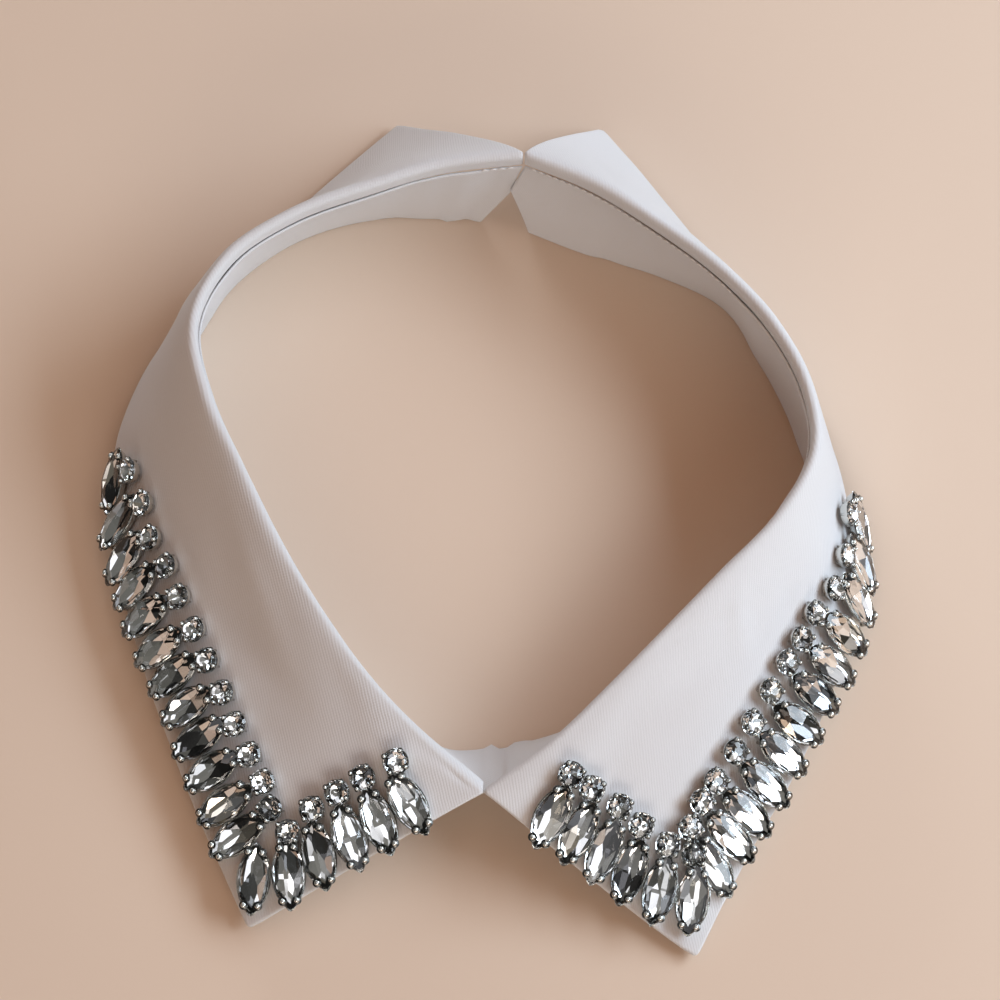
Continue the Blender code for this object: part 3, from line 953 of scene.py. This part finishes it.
def outline_point(kind, turn, length, width):
    """A point of a cup's outline, at a share of its length and width."""
    size = NAVETTE_SIZE if kind == "navette" else ROUND_SIZE
    point = NAVETTE_POINT if kind == "navette" else 1.0
    across = math.copysign(abs(math.sin(turn)) ** point, math.sin(turn))
    return size[0] / 2 * length * math.cos(turn), size[1] / 2 * width * across


def tube_faces(levels, sides, closed=False):
    """The faces from ring to ring of a tube, and from its last ring to its first when closed."""
    faces = []
    for level in range(levels if closed else levels - 1):
        low = level * sides
        high = (level + 1) % levels * sides
        for side in range(sides):
            after = (side + 1) % sides
            faces.append([low + side, low + after, high + after, high + side])
    return faces


def metal_cup(kind):
    """The band of pressed metal that holds a stone, open at the top and below."""
    rings = NAVETTE_CUP if kind == "navette" else ROUND_CUP
    points = []
    for ring in rings:
        for side in range(CUP_SIDES):
            x, y = outline_point(kind, 2 * math.pi * side / CUP_SIDES, ring.length, ring.width)
            points.append(Vector((x, y, ring.height)))
    faces = tube_faces(len(rings), CUP_SIDES, closed=True)
    return Template(points, faces, [SILVER] * len(faces), [True] * len(faces))


def metal_claw(claw):
    """A claw that rises beside its cup and ends in a domed head laid over the stone's edge."""
    profile = [(bend.height, bend.share) for bend in CLAW_BENDS]
    dome = CLAW_BENDS[-1]
    for step in range(1, CLAW_RINGS):
        turn = math.pi / 2 * step / CLAW_RINGS
        height = dome.height + (CLAW_TOP - dome.height) * math.sin(turn)
        profile.append((height, dome.share * math.cos(turn)))
    points = []
    for height, share in profile:
        for side in range(CLAW_SIDES):
            turn = 2 * math.pi * side / CLAW_SIDES
            reach = claw.radius * share
            x = claw.x + reach * math.cos(turn)
            y = claw.y + reach * math.sin(turn)
            points.append(Vector((x, y, height)))
    faces = tube_faces(len(profile), CLAW_SIDES)
    faces.append(list(range(CLAW_SIDES))[::-1])
    points.append(Vector((claw.x, claw.y, CLAW_TOP)))
    top = (len(profile) - 1) * CLAW_SIDES
    for side in range(CLAW_SIDES):
        faces.append([top + side, top + (side + 1) % CLAW_SIDES, len(points) - 1])
    # The faces under the head are painted dark, as the shade and dark refraction round the head
    metals = []
    for bend in CLAW_BENDS:
        metals += [SILVER_PAINTED_SHADE if bend.dark else SILVER] * CLAW_SIDES
    metals += [SILVER] * (len(faces) - len(metals))
    return Template(points, faces, metals, [True] * len(faces))


def make_stones(kind, side, seats, materials):
    """The stones of one kind on one side, each with its cup and claws, as one piece."""
    claws = NAVETTE_CLAWS if kind == "navette" else ROUND_CLAWS
    templates = [cut_stone(kind), metal_cup(kind)] + [metal_claw(claw) for claw in claws]
    points = []
    faces = []
    slots = []
    smooth = []
    tints_and_shades = []
    for number, seat in enumerate(seats):
        if kind == "navette":
            roll = NAVETTE_ROLL[side] * min(1.0, number / LEAN_STONES)
            roll += NAVETTE_SWAY * math.sin(number * ROLL_TURN)
            pitch = NAVETTE_PITCH + NAVETTE_SWAY / 2 * math.sin(number * PITCH_TURN + 1)
            lean = Matrix.Rotation(math.radians(roll), 4, "X")
            seat = seat @ lean @ Matrix.Rotation(math.radians(pitch), 4, "Y")
        # Each stone and facet takes a step into the foil's ramp of faint tints and painted dark and
        # grey shade
        tint_and_shade = (number * STONE_TINT_AND_SHADE_STEP + SIDE_TINT_AND_SHADE_STEPS[side]) % 1.0
        for template in templates:
            first = len(points)
            points += [(seat @ point - CENTRE) * MM for point in template.points]
            faces += [[first + corner for corner in face] for face in template.faces]
            slots += template.materials
            smooth += template.smooth
            tints_and_shades += [(tint_and_shade + FACET_TINT_AND_SHADE_STEP * spot) % 1.0 for spot in range(len(template.faces))]
    name = f"{kind}_stones_{side}"
    mesh = bpy.data.meshes.new(name)
    mesh.from_pydata(points, [], faces)
    for material in materials:
        mesh.materials.append(material)
    mesh.polygons.foreach_set("material_index", slots)
    mesh.polygons.foreach_set("use_smooth", smooth)
    tint_and_shade = mesh.attributes.new("foil_tint_and_painted_shade", "FLOAT", "FACE")
    tint_and_shade.data.foreach_set("value", tints_and_shades)
    mesh.update()
    return add_to_scene(name, mesh)


# Sewing


def thread_bar(a, b, up, radius):
    """A short stitch from one hole to the next, raised in its middle."""
    points = []
    along = (b - a).normalized()
    side = along.cross(up).normalized()
    for step in range(THREAD_STEPS + 1):
        share = step / THREAD_STEPS
        swell = math.sin(math.pi * share)
        middle = a.lerp(b, share) + up * radius * THREAD_RISE * swell
        thick = radius * (THREAD_END + (1 - THREAD_END) * swell)
        for corner in range(THREAD_SIDES):
            turn = 2 * math.pi * corner / THREAD_SIDES
            points.append(middle + side * thick * math.cos(turn) + up * thick * math.sin(turn))
    faces = tube_faces(THREAD_STEPS + 1, THREAD_SIDES)
    faces.append(list(range(THREAD_SIDES))[::-1])
    faces.append([THREAD_STEPS * THREAD_SIDES + corner for corner in range(THREAD_SIDES)])
    return points, faces


def make_seams(radius, material):
    """The stitches that show on the stand's top edge inside the roll."""
    points = []
    faces = []
    rows = stand_rows()
    last = len(rows) - 1
    for seam in SEAMS:
        step = (seam.end - seam.start) / seam.count
        for number in range(seam.count):
            places = []
            for part in (0.0, STITCH_SHARE):
                at = seam.start + step * (number + part)
                values = blend(rows, at if seam.side == "left" else last - at)
                top = Vector(values[:3])
                inward = Vector(values[6:]).normalized()
                sideways = inward * (TOP_SHIFT + STITCH_OUT)
                places.append(top + sideways + Vector((0, 0, STITCH_LIFT)))
            bar, sides = thread_bar(places[0], places[1], Vector((0, 0, 1)), radius)
            first = len(points)
            points += [(point - CENTRE) * MM for point in bar]
            faces += [[first + corner for corner in side] for side in sides]
    mesh = bpy.data.meshes.new("seam_stitches")
    mesh.from_pydata(points, [], faces)
    mesh.shade_smooth()
    mesh.materials.append(material)
    return add_to_scene("seam_stitches", mesh)


# Finishes


def node_group(name, inputs, outputs):
    """An empty node group with its sockets, and its two end nodes."""
    group = bpy.data.node_groups.new(name, "ShaderNodeTree")
    for label, default in inputs:
        socket = group.interface.new_socket(label, in_out="INPUT", socket_type="NodeSocketFloat")
        socket.default_value = default
    for label in outputs:
        group.interface.new_socket(label, in_out="OUTPUT", socket_type="NodeSocketFloat")
    return group, group.nodes.new("NodeGroupInput"), group.nodes.new("NodeGroupOutput")


def maths(tree, operation, first, second=None, third=None):
    """One Math node on values or sockets, and its output."""
    node = tree.nodes.new("ShaderNodeMath")
    node.operation = operation
    for socket, value in zip(node.inputs, (first, second, third)):
        if isinstance(value, bpy.types.NodeSocket):
            tree.links.new(value, socket)
        elif value is not None:
            socket.default_value = value
    return node.outputs[0]


def wave(tree, turns):
    """A smooth wave from 0 to 1 and back over each turn."""
    swing = maths(tree, "SINE", maths(tree, "MULTIPLY", turns, 2 * math.pi))
    return maths(tree, "MULTIPLY_ADD", swing, 0.5, 0.5)


def fibre_noise(tree, vector, scale, detail=3.0):
    """Soft noise over a place, and its value."""
    node = tree.nodes.new("ShaderNodeTexNoise")
    node.inputs["Scale"].default_value = scale
    node.inputs["Detail"].default_value = detail
    tree.links.new(vector, node.inputs["Vector"])
    return node.outputs["Fac"]


def twill_group():
    """Fine diagonal ribs of twill, crossed by the weft, from the cloth's thread coordinates."""
    found = bpy.data.node_groups.get("fine_twill")
    if found:
        return found
    inputs = [("Rib Pitch", 0.55), ("Slant", 0.2), ("Weft Pitch", 0.32)]
    group, start, end = node_group("fine_twill", inputs, ["Height", "Shade"])
    place = group.nodes.new("ShaderNodeUVMap")
    place.uv_map = "weave"
    parts = group.nodes.new("ShaderNodeSeparateXYZ")
    group.links.new(place.outputs["UV"], parts.inputs[0])
    weft, rib = parts.outputs["X"], parts.outputs["Y"]
    drift = fibre_noise(group, place.outputs["UV"], DRIFT_SCALE)
    across = maths(group, "MULTIPLY_ADD", rib, start.outputs["Slant"], weft)
    across = maths(group, "MULTIPLY_ADD", drift, RIB_DRIFT, across)
    turn = maths(group, "DIVIDE", across, start.outputs["Rib Pitch"])
    ribs = wave(group, turn)
    picks = maths(group, "DIVIDE", rib, start.outputs["Weft Pitch"])
    beat = wave(group, maths(group, "MULTIPLY_ADD", turn, 0.5, picks))
    fuzz = fibre_noise(group, place.outputs["UV"], FUZZ_SCALE, detail=4.0)
    height = maths(group, "MULTIPLY", ribs, RELIEF["ribs"])
    height = maths(group, "MULTIPLY_ADD", beat, RELIEF["picks"], height)
    height = maths(group, "MULTIPLY_ADD", fuzz, RELIEF["fuzz"], height)
    group.links.new(height, end.inputs["Height"])
    # The shade is partly painted: the grooves between ribs are darker, as shade there, and the fuzz
    # adds random tone
    shade = maths(group, "MULTIPLY", fuzz, 1 - RIB_SHADE)
    shade = maths(group, "MULTIPLY_ADD", ribs, RIB_SHADE, shade)
    group.links.new(shade, end.inputs["Shade"])
    return group


def wear_group():
    """Slow and fine unevenness that polished and handled surfaces have."""
    found = bpy.data.node_groups.get("handled_wear")
    if found:
        return found
    inputs = [("Coarse", 180.0), ("Fine", 1400.0)]
    group, start, end = node_group("handled_wear", inputs, ["Wear", "Grain"])
    place = group.nodes.new("ShaderNodeTexCoord")
    for label, output in (("Coarse", "Wear"), ("Fine", "Grain")):
        node = group.nodes.new("ShaderNodeTexNoise")
        node.inputs["Detail"].default_value = 4.0
        group.links.new(place.outputs["Object"], node.inputs["Vector"])
        group.links.new(start.outputs[label], node.inputs["Scale"])
        group.links.new(node.outputs["Fac"], end.inputs[output])
    return group


def new_material(name):
    """A new material, its node tree and its shader."""
    material = bpy.data.materials.new(name)
    material.use_nodes = True
    return material, material.node_tree, material.node_tree.nodes["Principled BSDF"]


def placed(tree, group, **values):
    """A shared effect in a material's own tree, with its own values."""
    node = tree.nodes.new("ShaderNodeGroup")
    node.node_tree = group
    for label, value in values.items():
        node.inputs[label.replace("_", " ")].default_value = value
    return node


def mixed(tree, factor, low, high):
    """A colour between a low and a high one, by a mask."""
    node = tree.nodes.new("ShaderNodeMix")
    node.data_type = "RGBA"
    tree.links.new(factor, node.inputs["Factor"])
    node.inputs["A"].default_value = (*low, 1.0)
    node.inputs["B"].default_value = (*high, 1.0)
    return node.outputs["Result"]


def ranged(tree, value, low, high):
    """A value moved from 0 to 1 into another range."""
    node = tree.nodes.new("ShaderNodeMapRange")
    tree.links.new(value, node.inputs["Value"])
    node.inputs["To Min"].default_value = low
    node.inputs["To Max"].default_value = high
    return node.outputs["Result"]


def bumped(tree, shader, height, distance, strength):
    """Raises a shader's surface by a height, in metres."""
    node = tree.nodes.new("ShaderNodeBump")
    node.inputs["Distance"].default_value = distance
    node.inputs["Strength"].default_value = strength
    tree.links.new(height, node.inputs["Height"])
    tree.links.new(node.outputs["Normal"], shader.inputs["Normal"])


def darker(colour, share):
    return tuple(part * share for part in colour)


def twill_material(name, colour, pitch, slant):
    material, tree, shader = new_material(name)
    twill = placed(tree, twill_group(), Rib_Pitch=pitch, Slant=slant)
    # The colour is painted darker where the shade is low, as shade in the grooves between ribs, with
    # random tone from the fuzz
    low = darker(colour, 0.93)
    tree.links.new(mixed(tree, twill.outputs["Shade"], low, colour), shader.inputs["Base Color"])
    tree.links.new(ranged(tree, twill.outputs["Shade"], 0.95, 0.80), shader.inputs["Roughness"])
    shader.inputs["Sheen Weight"].default_value = 0.12
    shader.inputs["Specular IOR Level"].default_value = 0.25
    bumped(tree, shader, twill.outputs["Height"], distance=0.00006, strength=0.7)
    return material


def glass_material(colour):
    material, tree, shader = new_material("crystal_glass")
    wear = placed(tree, wear_group())
    tree.links.new(ranged(tree, wear.outputs["Grain"], 0.0, 0.006), shader.inputs["Roughness"])
    clear = mixed(tree, wear.outputs["Wear"], colour, (1.0, 1.0, 1.0))
    tree.links.new(clear, shader.inputs["Base Color"])
    shader.inputs["Transmission Weight"].default_value = 1.0
    shader.inputs["IOR"].default_value = 1.55
    return material


def foil_material():
    """The silvered back of a stone, whose facets differ from one to the next in a faint tint and in
    painted dark and grey shade, which stands in for dark reflections.
    """
    material, tree, shader = new_material("silvered_back")
    tint_and_shade = tree.nodes.new("ShaderNodeAttribute")
    tint_and_shade.attribute_name = "foil_tint_and_painted_shade"
    # A ramp of faint tints and of painted dark and grey shade, one colour for each facet
    ramp = tree.nodes.new("ShaderNodeValToRGB")
    ramp.color_ramp.interpolation = "CONSTANT"
    points = ramp.color_ramp.elements
    while len(points) < len(FOIL_TINTS_AND_PAINTED_SHADE):
        points.new(1.0)
    for point, (place, colour) in zip(points, FOIL_TINTS_AND_PAINTED_SHADE):
        point.position = place
        point.color = (*colour, 1.0)
    tree.links.new(tint_and_shade.outputs["Fac"], ramp.inputs["Fac"])
    tree.links.new(ramp.outputs["Color"], shader.inputs["Base Color"])
    shader.inputs["Metallic"].default_value = 1.0
    wear = placed(tree, wear_group())
    tree.links.new(ranged(tree, wear.outputs["Grain"], 0.0, 0.02), shader.inputs["Roughness"])
    return material


def silver_material(name, colour):
    material, tree, shader = new_material(name)
    wear = placed(tree, wear_group(), Coarse=220.0, Fine=2600.0)
    dark = darker(colour, 0.72)
    tree.links.new(mixed(tree, wear.outputs["Wear"], dark, colour), shader.inputs["Base Color"])
    tree.links.new(ranged(tree, wear.outputs["Wear"], 0.24, 0.12), shader.inputs["Roughness"])
    shader.inputs["Metallic"].default_value = 1.0
    bumped(tree, shader, wear.outputs["Grain"], distance=0.00002, strength=0.4)
    return material


def thread_material(colour):
    material, tree, shader = new_material("white_thread")
    wear = placed(tree, wear_group(), Coarse=900.0, Fine=6000.0)
    dark = darker(colour, 0.8)
    tree.links.new(mixed(tree, wear.outputs["Grain"], dark, colour), shader.inputs["Base Color"])
    tree.links.new(ranged(tree, wear.outputs["Wear"], 0.85, 0.65), shader.inputs["Roughness"])
    bumped(tree, shader, wear.outputs["Grain"], distance=0.00005, strength=0.6)
    return material


def paper_material(colour):
    material, tree, shader = new_material("peach_paper")
    wear = placed(tree, wear_group(), Coarse=6.0, Fine=900.0)
    dark = darker(colour, 0.96)
    tree.links.new(mixed(tree, wear.outputs["Wear"], dark, colour), shader.inputs["Base Color"])
    tree.links.new(ranged(tree, wear.outputs["Grain"], 0.85, 0.95), shader.inputs["Roughness"])
    bumped(tree, shader, wear.outputs["Grain"], distance=0.00006, strength=0.25)
    return material


# The settings, the pieces and the panel


class ClothSettings(bpy.types.PropertyGroup):
    colour: bpy.props.FloatVectorProperty(
        name="Twill colour",
        description="The colour of the white twill in even light",
        subtype="COLOR",
        size=3,
        min=0.0,
        max=1.0,
        default=(0.675, 0.69, 0.71),
    )
    fall_wall: bpy.props.FloatProperty(
        name="Fall wall",
        description="How thick the two layers of a fall are",
        unit="LENGTH",
        default=0.0010,
    )
    stand_wall: bpy.props.FloatProperty(
        name="Stand wall",
        description="How thick the stand is below its pressed top edge",
        unit="LENGTH",
        default=0.0011,
    )
    stand_top: bpy.props.FloatProperty(
        name="Stand top edge",
        description="How thick the stand's pressed top edge is",
        unit="LENGTH",
        default=0.0006,
    )
    rib_pitch: bpy.props.FloatProperty(
        name="Rib pitch",
        description="The distance from one rib of the twill to the next",
        unit="LENGTH",
        default=0.00060,
    )
    slackness: bpy.props.FloatProperty(
        name="Slackness",
        description="How deep the soft creases are, 0 for a pressed collar",
        min=0.0,
        max=2.0,
        default=1.0,
    )


class StoneSettings(bpy.types.PropertyGroup):
    glass_colour: bpy.props.FloatVectorProperty(
        name="Glass colour",
        description="The colour of the clear stones",
        subtype="COLOR",
        size=3,
        min=0.0,
        max=1.0,
        default=(0.98, 0.985, 0.97),
    )
    metal_colour: bpy.props.FloatVectorProperty(
        name="Metal colour",
        description="The colour of the cups and claws",
        subtype="COLOR",
        size=3,
        min=0.0,
        max=1.0,
        default=(0.80, 0.80, 0.76),
    )


class SewingSettings(bpy.types.PropertyGroup):
    thread_colour: bpy.props.FloatVectorProperty(
        name="Thread colour",
        description="The colour of the sewing thread",
        subtype="COLOR",
        size=3,
        min=0.0,
        max=1.0,
        default=(0.90, 0.90, 0.90),
    )
    thread_radius: bpy.props.FloatProperty(
        name="Thread radius",
        description="Half the thickness of the sewing thread",
        unit="LENGTH",
        default=0.00020,
    )


class StageSettings(bpy.types.PropertyGroup):
    floor_colour: bpy.props.FloatVectorProperty(
        name="Floor colour",
        description="The colour of the pale floor",
        subtype="COLOR",
        size=3,
        min=0.0,
        max=1.0,
        default=(0.73, 0.60, 0.485),
    )
    key_power: bpy.props.FloatProperty(
        name="Key light",
        description="The power of the large soft light on the right",
        default=8.4,
        min=0.0,
    )
    room_light: bpy.props.FloatProperty(
        name="Room light",
        description="The strength of the even light from all round",
        default=0.24,
        min=0.0,
    )


def stone_nodes(side):
    """The CAD nodes of one side's stones."""
    return [f"stones_{side}_{number:02d}" for number in range(1, len(STONES[side]) + 1)]


def stone_materials(settings):
    """The finishes of the stones, made once for all of them."""
    names = ("crystal_glass", "silvered_back", "pressed_silver", "silver_with_painted_shade")
    found = [bpy.data.materials.get(name) for name in names]
    if None not in found:
        return found
    metal = settings.metal_colour[:]
    return [
        glass_material(settings.glass_colour[:]),
        foil_material(),
        silver_material("pressed_silver", metal),
        # The silver under the claws' heads is painted darker, as shade round the heads
        silver_material("silver_with_painted_shade", darker(metal, PAINTED_SHADE_SHARE)),
    ]


def set_stones(context, kind):
    """Sets the stones of one kind on both falls, in place of the CAD's stones."""
    materials = stone_materials(context.scene.collar_stones)
    for side in SIDES:
        navettes, rounds = seats_of(side)
        seats = navettes if kind == "navette" else rounds
        item = make_stones(kind, side, seats, materials)
        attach(item, "root")
        nodes = stone_nodes(side)
        if kind == "round":
            nodes = [node for node, stone in zip(nodes, STONES[side]) if stone.swing is not None]
        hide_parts(*nodes)


class COLLAR_OT_falls(bpy.types.Operator):
    """Makes the two falls of twill, turned over the roll line"""

    bl_idname = "collar.falls"
    bl_label = "Make the falls"

    def execute(self, context):
        cloth = context.scene.collar_cloth
        pitch = cloth.rib_pitch / MM
        for side in SIDES:
            twill = twill_material("twill_" + side, cloth.colour[:], pitch, SLANTS[side])
            item, area = make_fall(side, cloth.fall_wall / MM, cloth.slackness, twill)
            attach(item, "root")
            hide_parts("fall_" + side)
        return {"FINISHED"}


class COLLAR_OT_stand(bpy.types.Operator):
    """Makes the stand, the band of twill round the neck"""

    bl_idname = "collar.stand"
    bl_label = "Make the stand"

    def execute(self, context):
        cloth = context.scene.collar_cloth
        pitch = cloth.rib_pitch / MM
        twill = twill_material("twill_stand", cloth.colour[:], pitch, SLANTS["stand"])
        walls = (cloth.stand_wall / MM, cloth.stand_top / MM)
        item, area = make_stand(*walls, cloth.slackness, twill)
        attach(item, "root")
        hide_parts("stand")
        return {"FINISHED"}


class COLLAR_OT_navettes(bpy.types.Operator):
    """Sets the pointed stones in their claw cups along the edges of the falls"""

    bl_idname = "collar.navettes"
    bl_label = "Set the navettes"

    def execute(self, context):
        set_stones(context, "navette")
        return {"FINISHED"}


class COLLAR_OT_rounds(bpy.types.Operator):
    """Sets the round stones at the inner tips of the navettes"""

    bl_idname = "collar.rounds"
    bl_label = "Set the round stones"

    def execute(self, context):
        set_stones(context, "round")
        return {"FINISHED"}


class COLLAR_OT_sewing(bpy.types.Operator):
    """Sews the stitches that show inside the roll"""

    bl_idname = "collar.sewing"
    bl_label = "Sew the seams"

    def execute(self, context):
        sewing = context.scene.collar_sewing
        item = make_seams(sewing.thread_radius / MM, thread_material(sewing.thread_colour[:]))
        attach(item, "root")
        return {"FINISHED"}


class COLLAR_OT_stage(bpy.types.Operator):
    """Lays the floor and sets the lights and the camera"""

    bl_idname = "collar.stage"
    bl_label = "Set the stage"

    def execute(self, context):
        stage = context.scene.collar_stage
        make_floor(stage.floor_colour[:])
        make_lights(stage.key_power, stage.room_light)
        make_camera()
        return {"FINISHED"}


def make_floor(colour):
    mesh = bpy.data.meshes.new("floor")
    signs = ((-1, -1), (1, -1), (1, 1), (-1, 1))
    corners = [(x * FLOOR_REACH, y * FLOOR_REACH, 0) for x, y in signs]
    mesh.from_pydata(corners, [], [(0, 1, 2, 3)])
    mesh.materials.append(paper_material(colour))
    floor = add_to_scene("floor", mesh)


def area_light(lamp, power):
    """A soft light that faces the collar."""
    light = bpy.data.lights.new(lamp.name, "AREA")
    light.shape = "RECTANGLE"
    light.size, light.size_y = lamp.size
    light.energy = power
    light.color = lamp.colour
    item = add_to_scene(lamp.name, light)
    item.location = lamp.place
    item.rotation_euler = (AIM - Vector(lamp.place)).to_track_quat("-Z", "Y").to_euler()


def make_lights(key_power, room_light):
    for lamp in LAMPS:
        area_light(lamp, key_power * lamp.share)
    world = bpy.data.worlds.new("room")
    bpy.context.scene.world = world
    world.use_nodes = True
    tree = world.node_tree
    back = tree.nodes["Background"]
    place = tree.nodes.new("ShaderNodeTexCoord").outputs["Generated"]
    ramp = tree.nodes.new("ShaderNodeValToRGB")
    colours = (WALL_COLOUR, WINDOW_COLOUR)
    for point, edge, colour in zip(ramp.color_ramp.elements, WINDOW_EDGES, colours):
        point.position = edge
        point.color = (*colour, 1.0)
    parts = tree.nodes.new("ShaderNodeSeparateXYZ")
    tree.links.new(place, parts.inputs[0])
    patches = fibre_noise(tree, place, WINDOW_SCALE, detail=1.0)
    patches = maths(tree, "MULTIPLY_ADD", parts.outputs["X"], WINDOW_DRIFT, patches)
    tree.links.new(patches, ramp.inputs["Fac"])
    rise = maths(tree, "MULTIPLY_ADD", parts.outputs["Z"], ROOM_RISE, ROOM_LEVEL)
    rise = maths(tree, "MAXIMUM", rise, ROOM_LEAST)
    tree.links.new(maths(tree, "MULTIPLY", rise, room_light), back.inputs["Strength"])
    # Matt surfaces see the warm, even glow of the room, and the stones its windows
    path = tree.nodes.new("ShaderNodeLightPath")
    room = mixed(tree, path.outputs["Is Diffuse Ray"], (0.0, 0.0, 0.0), ROOM_GLOW)
    tree.links.new(ramp.outputs["Color"], room.node.inputs["A"])
    tree.links.new(room, back.inputs["Color"])
    bpy.context.scene.view_settings.view_transform = "Standard"


def make_camera():
    lens = bpy.data.cameras.new("photo_view")
    lens.lens = PHOTO_FOCAL
    lens.sensor_width = SENSOR
    camera = add_to_scene("photo_view", lens)
    rise = math.radians(CAMERA_ELEVATION)
    camera.location = AIM + Vector((0, -math.cos(rise), math.sin(rise))) * CAMERA_REACH
    camera.rotation_euler = (math.radians(90) - rise, 0, 0)
    bpy.context.scene.camera = camera


class COLLAR_PT_panel(bpy.types.Panel):
    """The collar's settings and steps"""

    bl_label = "Collar"
    bl_idname = "COLLAR_PT_panel"
    bl_space_type = "VIEW_3D"
    bl_region_type = "UI"
    bl_category = "Collar"

    def draw(self, context):
        for settings, _ in SETTINGS:
            group = getattr(context.scene, settings)
            for name in group.__annotations__:
                self.layout.prop(group, name)
        for step in STEPS:
            self.layout.operator(step)


SETTINGS = [
    ("collar_cloth", ClothSettings),
    ("collar_stones", StoneSettings),
    ("collar_sewing", SewingSettings),
    ("collar_stage", StageSettings),
]
STEPS = [
    "collar.falls",
    "collar.stand",
    "collar.navettes",
    "collar.rounds",
    "collar.sewing",
    "collar.stage",
]
CLASSES = [group for _, group in SETTINGS] + [
    COLLAR_OT_falls,
    COLLAR_OT_stand,
    COLLAR_OT_navettes,
    COLLAR_OT_rounds,
    COLLAR_OT_sewing,
    COLLAR_OT_stage,
    COLLAR_PT_panel,
]


def register():
    for each in CLASSES:
        bpy.utils.register_class(each)
    for name, group in SETTINGS:
        setattr(bpy.types.Scene, name, bpy.props.PointerProperty(type=group))


def unregister():
    for name, _ in SETTINGS:
        delattr(bpy.types.Scene, name)
    for each in reversed(CLASSES):
        bpy.utils.unregister_class(each)


def main():
    register()
    for step in STEPS:
        area, name = step.split(".")
        getattr(getattr(bpy.ops, area), name)()


if __name__ == "__main__":
    main()
